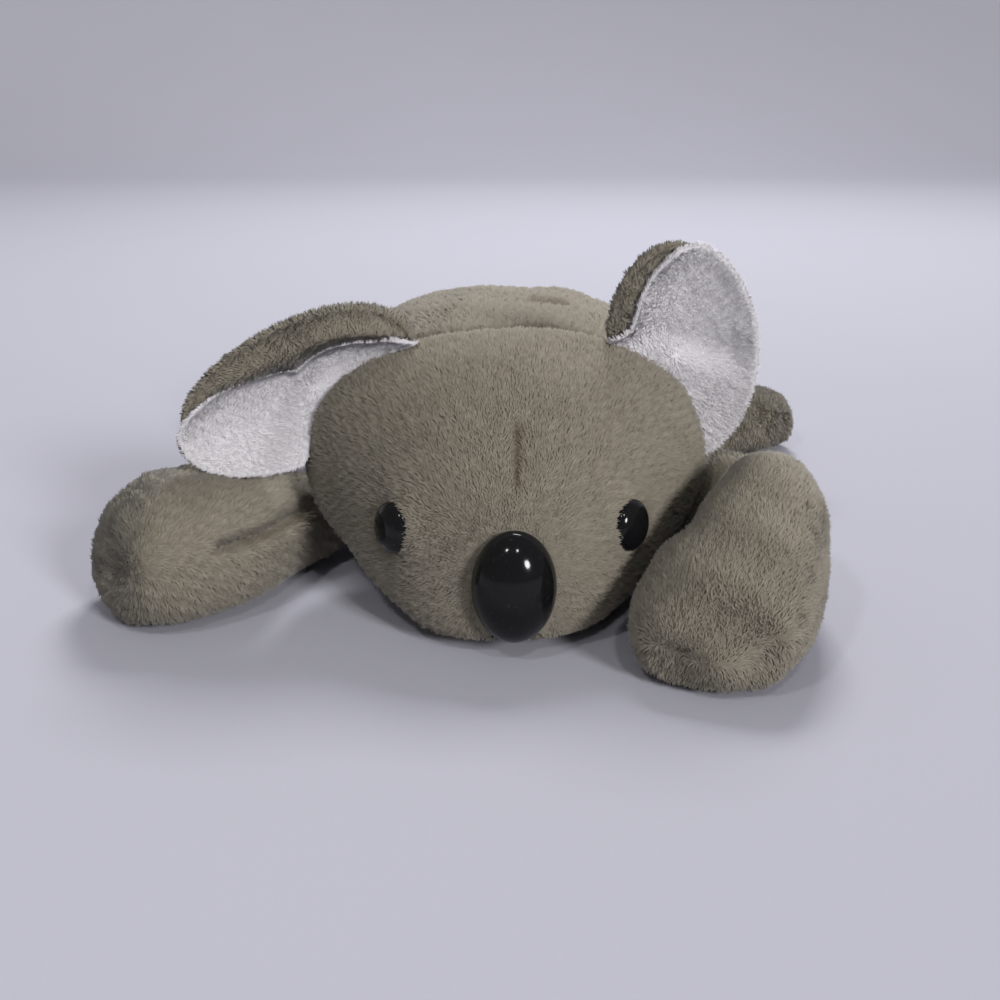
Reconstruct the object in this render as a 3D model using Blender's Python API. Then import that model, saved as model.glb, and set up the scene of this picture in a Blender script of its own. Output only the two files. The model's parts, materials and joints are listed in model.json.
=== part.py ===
"""Plush koala lying on its belly, as sewn skins, fillings, ears, eyes and nose.

Metres, +Z up, the face looks along -Y and the koala's left is +X. The origin is the
middle of the belly's resting face.
"""

import math

import bmesh
import bpy
import numpy as np
from mathutils import Matrix, Vector
from mathutils.bvhtree import BVHTree

TURN = 2.0 * math.pi
Z_AXIS = (0.0, 0.0, 1.0)
ROUND = 2.0

# Cloth, clearances and shared sizes
SKIN_THICKNESS = 0.0018
FILL_GAP = 0.0005
SEAT_GAP = 0.0005
PLAY = 0.0003
BASE_PRESS = 0.0005
CUT_OVERRUN = 0.002

# Torso
TORSO_LENGTH = 0.103
TORSO_WIDTH = 0.100
TORSO_HEIGHT = 0.064
TORSO_SIDES = 24
TORSO_RINGS = 20
TORSO_TOP_FULLNESS = 2.4
TORSO_BELLY_FULLNESS = 3.6
# along the length, middle height, half width, rise and drop at each station
TORSO_STATION_SHARES = (
    (0.000, 0.484, 0.00, 0.000, 0.000),
    (0.010, 0.484, 0.28, 0.188, 0.203),
    (0.029, 0.477, 0.46, 0.313, 0.320),
    (0.068, 0.469, 0.62, 0.398, 0.406),
    (0.136, 0.453, 0.77, 0.469, 0.442),
    (0.243, 0.445, 0.88, 0.519, 0.453),
    (0.417, 0.445, 0.96, 0.550, 0.453),
    (0.592, 0.438, 1.00, 0.555, 0.446),
    (0.757, 0.422, 0.95, 0.500, 0.430),
    (0.874, 0.406, 0.79, 0.391, 0.391),
    (0.951, 0.391, 0.52, 0.250, 0.266),
    (0.990, 0.383, 0.24, 0.117, 0.125),
    (1.000, 0.383, 0.00, 0.000, 0.000),
)

# Head
HEAD_LENGTH = 0.0565
HEAD_WIDTH = 0.103
HEAD_HEIGHT = 0.0630
CHIN_HEIGHT = 0.0035
HEAD_TURN = math.radians(1.8)
HEAD_SIDES = 24
HEAD_RINGS = 20
HEAD_TOP_FULLNESS = 2.2
HEAD_CHIN_FULLNESS = 3.0
# along the length, middle height, half width, rise and drop at each station
HEAD_STATION_SHARES = (
    (0.000, 0.219, 0.175, 0.206, 0.198),
    (0.018, 0.224, 0.262, 0.246, 0.216),
    (0.062, 0.238, 0.384, 0.302, 0.237),
    (0.125, 0.267, 0.482, 0.352, 0.267),
    (0.214, 0.310, 0.559, 0.405, 0.308),
    (0.304, 0.354, 0.637, 0.443, 0.349),
    (0.393, 0.397, 0.722, 0.468, 0.381),
    (0.500, 0.437, 0.827, 0.492, 0.408),
    (0.625, 0.460, 0.938, 0.513, 0.413),
    (0.750, 0.468, 1.000, 0.529, 0.397),
    (0.857, 0.460, 0.913, 0.484, 0.357),
    (0.929, 0.452, 0.709, 0.397, 0.310),
    (0.973, 0.452, 0.476, 0.270, 0.222),
    (1.000, 0.452, 0.000, 0.000, 0.000),
)

# Neck, and the torso and head that meet over it in a crease
NECK_RADIUS = 0.0205
NECK_FORWARD = 0.044
NECK_HEIGHT = 0.032
NECK_CREASE = 0.0030
TORSO_FRONT = NECK_FORWARD - NECK_CREASE / 2
HEAD_FRONT = NECK_FORWARD + NECK_CREASE / 2 + HEAD_LENGTH

# Nose
NOSE_WIDTH = 0.0190
NOSE_HEIGHT = 0.0265
NOSE_DEPTH = 0.0080
NOSE_STEM_RADIUS = 0.0020
NOSE_STEM_LENGTH = 0.0100
NOSE_WASHER_RADIUS = 0.0065

# Eyes
EYE_SPACING = 0.0535
EYE_HEIGHT = 0.0275
EYE_RADIUS = 0.0060
EYE_DEPTH = 0.0030
EYE_STEM_RADIUS = 0.0015
EYE_STEM_LENGTH = 0.0085
EYE_WASHER_RADIUS = 0.0050
WASHER_THICKNESS = 0.0015
WASHER_SINK = 0.0006
STEM_SIDES = 12
DOME_SIDES = 16
DOME_RINGS = 5
SEAT_STEPS = 3
SEAT_FACET_SHARE = 0.985

# Ears
EAR_CLOTH = 0.0020
EAR_GAP = 0.0005
EAR_ROOT_GAP = 0.0009
EAR_SECTORS = 22
EAR_BISECTIONS = 24
EAR_RING_SHARES = (0.0, 0.34, 0.68)
EAR_STATION_SHARE = 0.75
EAR_PLANE = EAR_STATION_SHARE * HEAD_LENGTH - HEAD_FRONT
EAR_DISH = 0.0030
EAR_EDGE = 0.0022
EAR_RIM = 0.0065
EAR_ROUND = 0.0006
EAR_RIM_START_SHARE = 0.2
EAR_LEFT_LENGTH = 0.0550
EAR_LEFT_BREADTH = 0.0370
EAR_LEFT_INSET = 0.0095
EAR_LEFT_RISE = 0.0250
EAR_LEFT_TILT = math.radians(96.0)
EAR_LEFT_CUP = 0.0070
EAR_LEFT_RIM_TURN = math.radians(140.0)
EAR_RIGHT_LENGTH = 0.0630
EAR_RIGHT_BREADTH = 0.0340
EAR_RIGHT_INSET = 0.0015
EAR_RIGHT_RISE = 0.0170
EAR_RIGHT_TILT = math.radians(-27.0)
EAR_RIGHT_CUP = 0.0090
EAR_RIGHT_RIM_TURN = math.radians(95.0)

# Limbs
SHOULDER_RADIUS = 0.0125
SHOULDER_OUT = 0.0390
SHOULDER_FORWARD = 0.0260
SHOULDER_HEIGHT = 0.0130
ARM_REACH = 0.0960
ARM_LEFT_WIDTH = 0.0400
ARM_RIGHT_WIDTH = 0.0450
ARM_LEFT_HEIGHT = 0.0415
ARM_RIGHT_HEIGHT = 0.0310
HIP_RADIUS = 0.0120
HIP_OUT = 0.0410
HIP_BACK = 0.0340
HIP_HEIGHT = 0.0125
LEG_REACH = 0.0635
LEG_WIDTH = 0.0300
LEG_HEIGHT = 0.0215
LIMB_SIDES = 14
LIMB_RINGS = 12
FULLNESS_RINGS = 3
BALL_RINGS = 5
BALL_OPEN_ANGLE = math.radians(45.0)
BALL_LEAVE_ANGLE = math.radians(125.0)
LIMB_TOP_FULLNESS = 2.2
LIMB_PAD_FULLNESS = 2.8
# out from the shoulder as a share of the head's width, which the arm lies round, then
# ahead of the shoulder, half width, top and base at each station
ARM_LEFT_STATION_SHARES = (
    (0.107, 0.229, 0.495, 0.470, 0.024),
    (0.213, 0.344, 0.510, 0.590, 0.000),
    (0.224, 0.448, 0.630, 0.880, -0.012),
    (0.206, 0.552, 0.795, 1.000, -0.012),
    (0.175, 0.635, 0.915, 0.952, -0.012),
    (0.136, 0.729, 0.980, 0.855, -0.012),
    (0.086, 0.823, 1.000, 0.723, -0.012),
    (0.044, 0.917, 0.890, 0.554, -0.012),
    (0.020, 0.990, 0.400, 0.313, 0.060),
    (0.015, 1.000, 0.000, 0.193, 0.193),
)
ARM_RIGHT_STATION_SHARES = (
    (0.126, 0.208, 0.440, 0.645, 0.032),
    (0.224, 0.328, 0.667, 0.855, 0.000),
    (0.330, 0.443, 0.956, 1.000, -0.016),
    (0.437, 0.516, 1.000, 1.016, -0.016),
    (0.524, 0.557, 0.778, 0.887, -0.010),
    (0.583, 0.583, 0.356, 0.581, 0.161),
    (0.592, 0.589, 0.000, 0.387, 0.387),
)
# out from the hip, behind the hip, half width, top and base at each station
LEG_STATION_SHARES = (
    (0.260, 0.120, 0.64, 0.95, 0.06),
    (0.480, 0.240, 0.80, 0.97, 0.00),
    (0.690, 0.360, 0.98, 1.00, -0.02),
    (0.830, 0.440, 0.78, 0.86, 0.04),
    (0.877, 0.470, 0.00, 0.45, 0.45),
)

FUR = (0.33, 0.29, 0.23)
WHITE_FUR = (0.80, 0.79, 0.78)
BLACK_PLASTIC = (0.010, 0.009, 0.009)
STUFFING = (0.75, 0.74, 0.70)
WASHER_PLASTIC = (0.60, 0.60, 0.58)


def clear_scene():
    for thing in list(bpy.data.objects):
        bpy.data.objects.remove(thing, do_unlink=True)


def material(name, colour, roughness):
    made = bpy.data.materials.new(name)
    made.use_nodes = True
    shader = made.node_tree.nodes["Principled BSDF"]
    shader.inputs["Base Color"].default_value = (*colour, 1.0)
    shader.inputs["Roughness"].default_value = roughness
    return made


def add_object(name, mesh, finish=None, parent=None):
    made = bpy.data.objects.new(name, mesh)
    bpy.context.scene.collection.objects.link(made)
    if finish:
        mesh.materials.append(finish)
    if parent:
        made.parent = parent
        made.matrix_parent_inverse = parent.matrix_world.inverted()
    return made


def pivot(name, place, parent=None):
    """An empty on a joint's axis, which carries the pieces of that joint."""
    made = bpy.data.objects.new(name, None)
    bpy.context.scene.collection.objects.link(made)
    made.empty_display_size = SHOULDER_RADIUS
    if parent:
        made.parent = parent
        made.location = Vector(place) - parent.matrix_world.translation
    else:
        made.location = place
    bpy.context.view_layer.update()
    return made


def smooth_rows(rows, count):
    """Rows read evenly from a smooth curve through the given ones, by Hermite steps."""
    rows = np.array(rows, dtype=float)
    steps = np.linalg.norm(np.diff(rows, axis=0), axis=1)
    places = np.concatenate(([0.0], np.cumsum(steps)))
    slopes = np.gradient(rows, places, axis=0)
    wanted = np.linspace(0.0, places[-1], count)
    left = np.clip(np.searchsorted(places, wanted, side="right") - 1, 0, len(rows) - 2)
    span = (places[left + 1] - places[left])[:, None]
    t = (wanted - places[left])[:, None] / span
    return (
        (2 * t**3 - 3 * t**2 + 1) * rows[left]
        + (t**3 - 2 * t**2 + t) * span * slopes[left]
        + (3 * t**2 - 2 * t**3) * rows[left + 1]
        + (t**3 - t**2) * span * slopes[left + 1]
    )


def unit_outline(count, top_fullness, low_fullness):
    """Across and up values of a rounded unit outline, from +across by way of up."""
    angles = np.arange(count) * TURN / count
    across, up = np.cos(angles), np.sin(angles)
    power = 2.0 / np.where(up >= 0, top_fullness, low_fullness)
    return (
        np.sign(across) * np.abs(across) ** power,
        np.sign(up) * np.abs(up) ** power,
    )


def outline_ring(row, side, count, top_fullness, low_fullness):
    """One ring of a form: x, y and z of its middle, half width, rise and drop."""
    across, up = unit_outline(count, top_fullness, low_fullness)
    height = np.where(up >= 0, row[4], row[5]) * up
    return row[:3] + across[:, None] * row[3] * side + height[:, None] * np.array(Z_AXIS)


def ring_mesh(name, rings):
    """A mesh of faces from ring to ring. A ring of no size becomes one point."""
    bm = bmesh.new()
    loops = []
    for ring in rings:
        if np.ptp(ring, axis=0).max() < PLAY:
            loops.append([bm.verts.new(ring.mean(axis=0))])
        else:
            loops.append([bm.verts.new(point) for point in ring])
    for first, second in zip(loops, loops[1:]):
        count = max(len(first), len(second))
        for step in range(count):
            after = (step + 1) % count
            corners = [first[step % len(first)], first[after % len(first)]]
            corners += [second[after % len(second)], second[step % len(second)]]
            bm.faces.new(list(dict.fromkeys(corners)))
    mesh = bpy.data.meshes.new(name)
    bm.to_mesh(mesh)
    bm.free()
    return mesh


def skin_form(mesh):
    """A form's outer face, pressed flat where it lies on the table, its faces outwards."""
    bm = bmesh.new()
    bm.from_mesh(mesh)
    for vert in bm.verts:
        vert.co.z = max(vert.co.z, 0.0)
    bmesh.ops.recalc_face_normals(bm, faces=bm.faces)
    bm.to_mesh(mesh)
    bm.free()
    mesh.shade_smooth()
    return mesh


def fill_form(mesh):
    """The filling of a form: its face drawn in by the skin and the gap, its open end capped."""
    mesh = skin_form(mesh)
    bm = bmesh.new()
    bm.from_mesh(mesh)
    bm.normal_update()
    moves = [vert.normal * (SKIN_THICKNESS + FILL_GAP) for vert in bm.verts]
    for vert, move in zip(bm.verts, moves):
        vert.co -= move
    bmesh.ops.holes_fill(bm, edges=[edge for edge in bm.edges if edge.is_boundary])
    bmesh.ops.recalc_face_normals(bm, faces=bm.faces)
    bm.to_mesh(mesh)
    bm.free()
    return mesh


def body_rows(shares, length, width, height, front, base):
    """Station rows, front to back, of a form that lies along Y."""
    rows = []
    for along, middle, half_width, rise, drop in shares:
        rows.append(
            (
                0.0,
                along * length - front,
                base + middle * height,
                half_width * width / 2,
                rise * height,
                drop * height,
            )
        )
    return rows


def torso_rings(sides):
    rows = body_rows(
        TORSO_STATION_SHARES, TORSO_LENGTH, TORSO_WIDTH, TORSO_HEIGHT, TORSO_FRONT, -BASE_PRESS
    )
    side = np.array((-1.0, 0.0, 0.0))
    return [
        outline_ring(row, side, sides, TORSO_TOP_FULLNESS, TORSO_BELLY_FULLNESS)
        for row in smooth_rows(rows, TORSO_RINGS)
    ]


def head_rows():
    return body_rows(
        HEAD_STATION_SHARES, HEAD_LENGTH, HEAD_WIDTH, HEAD_HEIGHT, HEAD_FRONT, CHIN_HEIGHT
    )


def head_rings(sides):
    side = np.array((-1.0, 0.0, 0.0))
    return [
        outline_ring(row, side, sides, HEAD_TOP_FULLNESS, HEAD_CHIN_FULLNESS)
        for row in smooth_rows(head_rows(), HEAD_RINGS)
    ]


def limb_rings(root, radius, stations, spread, reach, width, height, sides):
    """Rings of a limb: a ball round its joint, a neck, and a paw that lies on the table.

    root is the ball's middle. stations are out, along, half width, top and base shares,
    with out and along already signed, and out is a share of spread. The ball's rings are
    round, and the rings after it grow as full as the paw.
    """
    root = np.array(root)
    rows = []
    for out, along, half_width, top, base in stations:
        middle = (top + base) / 2 * height
        half = (top - base) / 2 * height
        place = root[:2] + np.array((out * spread, along * reach))
        rows.append((*place, middle, half_width * width / 2, half, half))
    lead = np.array(rows[0][:2]) - root[:2]
    lead /= np.linalg.norm(lead)
    ball = []
    for angle in np.linspace(BALL_OPEN_ANGLE, BALL_LEAVE_ANGLE, BALL_RINGS):
        place = root[:2] - lead * radius * math.cos(angle)
        size = radius * math.sin(angle)
        ball.append((*place, root[2], size, size, size))
    spine = np.array(ball[:-1] + list(smooth_rows(ball[-1:] + rows, LIMB_RINGS)))
    tangents = np.gradient(spine[:, :2], axis=0)
    growth = np.clip((np.arange(len(spine)) - BALL_RINGS) / FULLNESS_RINGS, 0, 1)
    rings = []
    for row, tangent, grown in zip(spine, tangents, growth):
        tangent = tangent / np.linalg.norm(tangent)
        side = np.array((tangent[1], -tangent[0], 0.0))
        top = ROUND + (LIMB_TOP_FULLNESS - ROUND) * grown
        pad = ROUND + (LIMB_PAD_FULLNESS - ROUND) * grown
        rings.append(outline_ring(row, side, sides, top, pad))
    return rings


def seat_cutter(name, place, radius):
    """A ball that leaves a running clearance round another ball."""
    bm = bmesh.new()
    size = (radius + SEAT_GAP) / SEAT_FACET_SHARE
    bmesh.ops.create_icosphere(bm, subdivisions=SEAT_STEPS, radius=size)
    bmesh.ops.translate(bm, verts=bm.verts, vec=Vector(place))
    mesh = bpy.data.meshes.new(name)
    bm.to_mesh(mesh)
    bm.free()
    made = add_object(name, mesh)
    made.hide_render = True
    made.display_type = "WIRE"
    return made


def rod_mesh(bm, start, along, radius, length, sides):
    """A capped rod from start, in the direction of along."""
    turn = Vector((0, 0, 1)).rotation_difference(Vector(along)).to_matrix().to_4x4()
    place = Matrix.Translation(Vector(start) + Vector(along) * (length / 2)) @ turn
    bmesh.ops.create_cone(
        bm,
        cap_ends=True,
        segments=sides,
        radius1=radius,
        radius2=radius,
        depth=length,
        matrix=place,
    )


def rod_cutter(name, start, along, radius, length, carrier):
    bm = bmesh.new()
    rod_mesh(bm, start, along, radius, length, STEM_SIDES)
    mesh = bpy.data.meshes.new(name)
    bm.to_mesh(mesh)
    bm.free()
    made = add_object(name, mesh, parent=carrier)
    made.hide_render = True
    made.display_type = "WIRE"
    return made


def cut(target, cutters):
    for cutter in cutters:
        step = target.modifiers.new("cut_" + cutter.name, "BOOLEAN")
        step.operation = "DIFFERENCE"
        step.solver = "EXACT"
        step.object = cutter


def skin_wall(target):
    wall = target.modifiers.new("skin_wall", "SOLIDIFY")
    wall.thickness = SKIN_THICKNESS
    wall.offset = -1.0


def dome_with_stem(name, place, along, half_width, half_height, depth, stem, stem_length):
    """A domed button on a flat back, and the stem that runs from it into the head.

    along points into the head. The dome is round or oval, its depth the ordinate of an
    ellipse, and the stem is drawn from the same faces, so the piece is one body.
    """
    along = Vector(along).normalized()
    across = along.cross(Vector((0, 0, 1))).normalized()
    up = across.cross(along)
    across, up, along, place = (np.array(value) for value in (across, up, along, place))
    angles = np.arange(DOME_SIDES) * TURN / DOME_SIDES
    rings = []
    for angle in np.linspace(0.0, TURN / 4, DOME_RINGS + 1):
        size = math.sin(angle)
        rings.append((size * half_width, size * half_height, -depth * math.cos(angle)))
    rings.append((stem, stem, 0.0))
    rings.append((stem, stem, stem_length))
    rings.append((0.0, 0.0, stem_length))
    loops = []
    for wide, high, deep in rings:
        flat = np.cos(angles)[:, None] * wide * across + np.sin(angles)[:, None] * high * up
        loops.append(place + flat + deep * along)
    mesh = ring_mesh(name, loops)
    bm = bmesh.new()
    bm.from_mesh(mesh)
    bmesh.ops.recalc_face_normals(bm, faces=bm.faces)
    bm.to_mesh(mesh)
    bm.free()
    mesh.shade_smooth()
    mesh.set_sharp_from_angle(angle=TURN / 12)
    return mesh


def washer_mesh(name, place, along, radius, bore):
    """A flat ring on the stem, turned from one square profile."""
    along = Vector(along).normalized()
    across = along.orthogonal().normalized()
    up = across.cross(along)
    angles = np.arange(DOME_SIDES) * TURN / DOME_SIDES
    spokes = np.cos(angles)[:, None] * np.array(across) + np.sin(angles)[:, None] * np.array(up)
    corners = ((bore, 0.0), (radius, 0.0), (radius, WASHER_THICKNESS), (bore, WASHER_THICKNESS))
    loops = [np.array(place) + spokes * size + deep * np.array(along) for size, deep in corners]
    mesh = ring_mesh(name, loops + loops[:1])
    bm = bmesh.new()
    bm.from_mesh(mesh)
    bmesh.ops.remove_doubles(bm, verts=bm.verts, dist=PLAY / 10)
    bmesh.ops.recalc_face_normals(bm, faces=bm.faces)
    bm.to_mesh(mesh)
    bm.free()
    return mesh


def head_section(along_y):
    """Corners, and each side's outward direction, of the head's outline in X and Z at one Y."""
    rows = smooth_rows(head_rows(), HEAD_RINGS)
    row = np.array([np.interp(along_y, rows[:, 1], rows[:, column]) for column in range(6)])
    side = np.array((-1.0, 0.0, 0.0))
    ring = outline_ring(row, side, HEAD_SIDES, HEAD_TOP_FULLNESS, HEAD_CHIN_FULLNESS)
    corners = ring[:, (0, 2)]
    edges = np.roll(corners, -1, axis=0) - corners
    aims = np.column_stack((-edges[:, 1], edges[:, 0])) / np.linalg.norm(edges, axis=1)[:, None]
    return corners, aims * np.sign((aims * (corners - corners.mean(axis=0))).sum())


def outside_head(points, section, gap):
    """Above zero for the points that are outside the head's outline by the gap."""
    corners, aims = section
    return ((points[:, None, (0, 2)] - corners) * aims).sum(axis=2).max(axis=1) - gap


class Ear:
    """One ear: an oval that meets the head along the head's own outline.

    The oval's middle is inset from the head's side, and rises over the head's middle. It
    is drawn in the upright plane y = EAR_PLANE, in sectors round its middle. A
    sector that would enter the head stops at the head. The oval is dished, and its far
    side leans forward by the cup.
    """

    def __init__(self, side, inset, rise, length, breadth, tilt, cup, rim_turn):
        head_side, head_middle = HEAD_WIDTH / 2, CHIN_HEIGHT + HEAD_HEIGHT / 2
        self.middle = np.array((side * (head_side - inset), EAR_PLANE, head_middle + rise))
        angles = np.arange(EAR_SECTORS) * TURN / EAR_SECTORS
        round_x, round_z = np.cos(angles) * length / 2, np.sin(angles) * breadth / 2
        x = round_x * math.cos(tilt) - round_z * math.sin(tilt)
        z = round_x * math.sin(tilt) + round_z * math.cos(tilt)
        self.spokes = np.column_stack((side * x, np.zeros(EAR_SECTORS), z))
        section = head_section(EAR_PLANE)
        near, far = np.zeros(EAR_SECTORS), np.ones(EAR_SECTORS)
        meets_head = outside_head(self.middle + self.spokes, section, EAR_ROOT_GAP) < 0
        for _ in range(EAR_BISECTIONS):
            half = (near + far) / 2
            tips = self.middle + self.spokes * half[:, None]
            free = outside_head(tips, section, EAR_ROOT_GAP) > 0
            near, far = np.where(free, half, near), np.where(free, far, half)
        self.reach = np.where(meets_head, near, 1.0)
        self.spokes *= self.reach[:, None]
        self.radii = np.linalg.norm(self.spokes, axis=1)
        root = self.spokes[meets_head].mean(axis=0)
        root /= np.linalg.norm(root)
        aim = self.spokes / self.radii[:, None]
        self.lean = (1 - aim @ root) / 2
        self.cup = cup
        rim_aim = np.array((side * math.cos(rim_turn), 0.0, math.sin(rim_turn)))
        near_rim = np.clip((aim @ rim_aim - EAR_RIM_START_SHARE) / (1 - EAR_RIM_START_SHARE), 0, 1)
        self.rim = EAR_EDGE + (EAR_RIM - EAR_EDGE) * near_rim
        last = self.middle + self.spokes[meets_head]
        spread = last @ np.cross(root, (0.0, 1.0, 0.0))
        self.hinge = last[spread.argmin()], last[spread.argmax()]

    def ring(self, share, level):
        """The ring at a share of each sector's radius, at a level behind the ear's own sheet."""
        share = np.broadcast_to(share, EAR_SECTORS)
        points = self.middle + self.spokes * share[:, None]
        points[:, 1] += EAR_DISH * (1 - share**2) - self.cup * self.lean * share**2 + level
        return points

    def back_mesh(self, name):
        """The rear piece: a dish whose edge turns forward round the front piece."""
        inner = 1 - self.rim / self.radii
        rear, seat, lip = EAR_GAP / 2 + EAR_CLOTH, EAR_GAP / 2, -EAR_GAP / 2 - EAR_CLOTH
        rings = [self.ring(share, rear) for share in EAR_RING_SHARES]
        rings += [self.ring(1 - EAR_ROUND / self.radii, rear), self.ring(1.0, 0.0)]
        rings += [self.ring(1 - EAR_ROUND / self.radii, lip), self.ring(inner, lip)]
        rings += [self.ring(inner, seat)]
        rings += [self.ring(inner * share, seat) for share in reversed(EAR_RING_SHARES)]
        return ring_mesh(name, rings)

    def front_mesh(self, name):
        """The front piece: a sheet that lies in the rear piece's dish."""
        inner = 1 - (self.rim + EAR_GAP) / self.radii
        low, high = -EAR_GAP / 2, -EAR_GAP / 2 - EAR_CLOTH
        rings = [self.ring(inner * share, low) for share in EAR_RING_SHARES]
        rings += [self.ring(inner, low), self.ring(inner, (low + high) / 2)]
        rings += [self.ring(1 - (self.rim + EAR_GAP + EAR_ROUND) / self.radii, high)]
        rings += [self.ring(inner * share, high) for share in reversed(EAR_RING_SHARES)]
        return ring_mesh(name, rings)


def outward(mesh):
    bm = bmesh.new()
    bm.from_mesh(mesh)
    bmesh.ops.recalc_face_normals(bm, faces=bm.faces)
    bm.to_mesh(mesh)
    bm.free()
    mesh.shade_smooth()
    mesh.set_sharp_from_angle(angle=TURN / 9)
    return mesh


def signed(stations, out_sign, along_sign):
    return [(out * out_sign, along * along_sign, *rest) for out, along, *rest in stations]


def build_torso(fur, stuffing, seats):
    mesh = skin_form(ring_mesh("torso_skin", torso_rings(TORSO_SIDES)))
    skin = add_object("torso_skin", mesh, fur)
    skin_wall(skin)
    cut(skin, seats)
    mesh = fill_form(ring_mesh("torso_fill", torso_rings(TORSO_SIDES // 2)))
    fill = add_object("torso_fill", mesh, stuffing)
    cut(fill, seats)


def surface_point(tree, start, aim):
    """Where a straight line from start meets the head, and the head's outward direction there."""
    place, normal, _, _ = tree.ray_cast(Vector(start), Vector(aim))
    return place, normal


def build_head(fur, stuffing, black, washer, neck_seat, carrier):
    form = skin_form(ring_mesh("head_skin", head_rings(HEAD_SIDES)))
    bm = bmesh.new()
    bm.from_mesh(form)
    tree = BVHTree.FromBMesh(bm)
    bm.free()
    inset = SKIN_THICKNESS + FILL_GAP
    nose_height = CHIN_HEIGHT + HEAD_STATION_SHARES[0][1] * HEAD_HEIGHT
    buttons = [
        (
            "nose",
            Vector((0.0, -HEAD_FRONT, nose_height)),
            Vector((0.0, -1.0, 0.0)),
            (NOSE_WIDTH / 2, NOSE_HEIGHT / 2, NOSE_DEPTH),
            (NOSE_STEM_RADIUS, NOSE_STEM_LENGTH, NOSE_WASHER_RADIUS),
        )
    ]
    for name, sign in (("eye_left", 1.0), ("eye_right", -1.0)):
        start = (sign * EYE_SPACING / 2, -HEAD_FRONT - HEAD_LENGTH, EYE_HEIGHT)
        place, normal = surface_point(tree, start, (0.0, 1.0, 0.0))
        buttons.append(
            (
                name,
                place,
                normal,
                (EYE_RADIUS, EYE_RADIUS, EYE_DEPTH),
                (EYE_STEM_RADIUS, EYE_STEM_LENGTH, EYE_WASHER_RADIUS),
            )
        )
    holes, pockets = [], []
    for name, place, normal, dome, (stem, length, washer_radius) in buttons:
        seat = place + normal * PLAY
        mesh = dome_with_stem(name, seat, -normal, *dome, stem, length)
        add_object(name, mesh, black, carrier)
        grip = place - normal * (inset + WASHER_SINK)
        mesh = washer_mesh(name + "_washer", grip, -normal, washer_radius, stem + PLAY)
        add_object(name + "_washer", mesh, washer, carrier)
        start = place + normal * CUT_OVERRUN
        pocket = CUT_OVERRUN + inset + WASHER_SINK + WASHER_THICKNESS + PLAY
        bore = CUT_OVERRUN + length + PLAY
        holes.append(rod_cutter(name + "_hole", start, -normal, stem + PLAY, pocket, carrier))
        pockets.append(
            rod_cutter(name + "_pocket", start, -normal, washer_radius + PLAY, pocket, carrier)
        )
        pockets.append(rod_cutter(name + "_bore", start, -normal, stem + PLAY, bore, carrier))
    skin = add_object("head_skin", form, fur, carrier)
    skin_wall(skin)
    cut(skin, [neck_seat] + holes)
    mesh = fill_form(ring_mesh("head_fill", head_rings(HEAD_SIDES // 2)))
    fill = add_object("head_fill", mesh, stuffing, carrier)
    cut(fill, [neck_seat] + pockets)


def build_limb(name, root, radius, stations, spread, reach, width, height, fur, stuffing):
    joint = pivot(name + "_joint", root)
    sizes = (root, radius, stations, spread, reach, width, height)
    rings = limb_rings(*sizes, LIMB_SIDES)
    skin = add_object(name + "_skin", skin_form(ring_mesh(name + "_skin", rings)), fur, joint)
    skin_wall(skin)
    rings = limb_rings(*sizes, LIMB_SIDES // 2)
    add_object(name + "_fill", fill_form(ring_mesh(name + "_fill", rings)), stuffing, joint)


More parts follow.
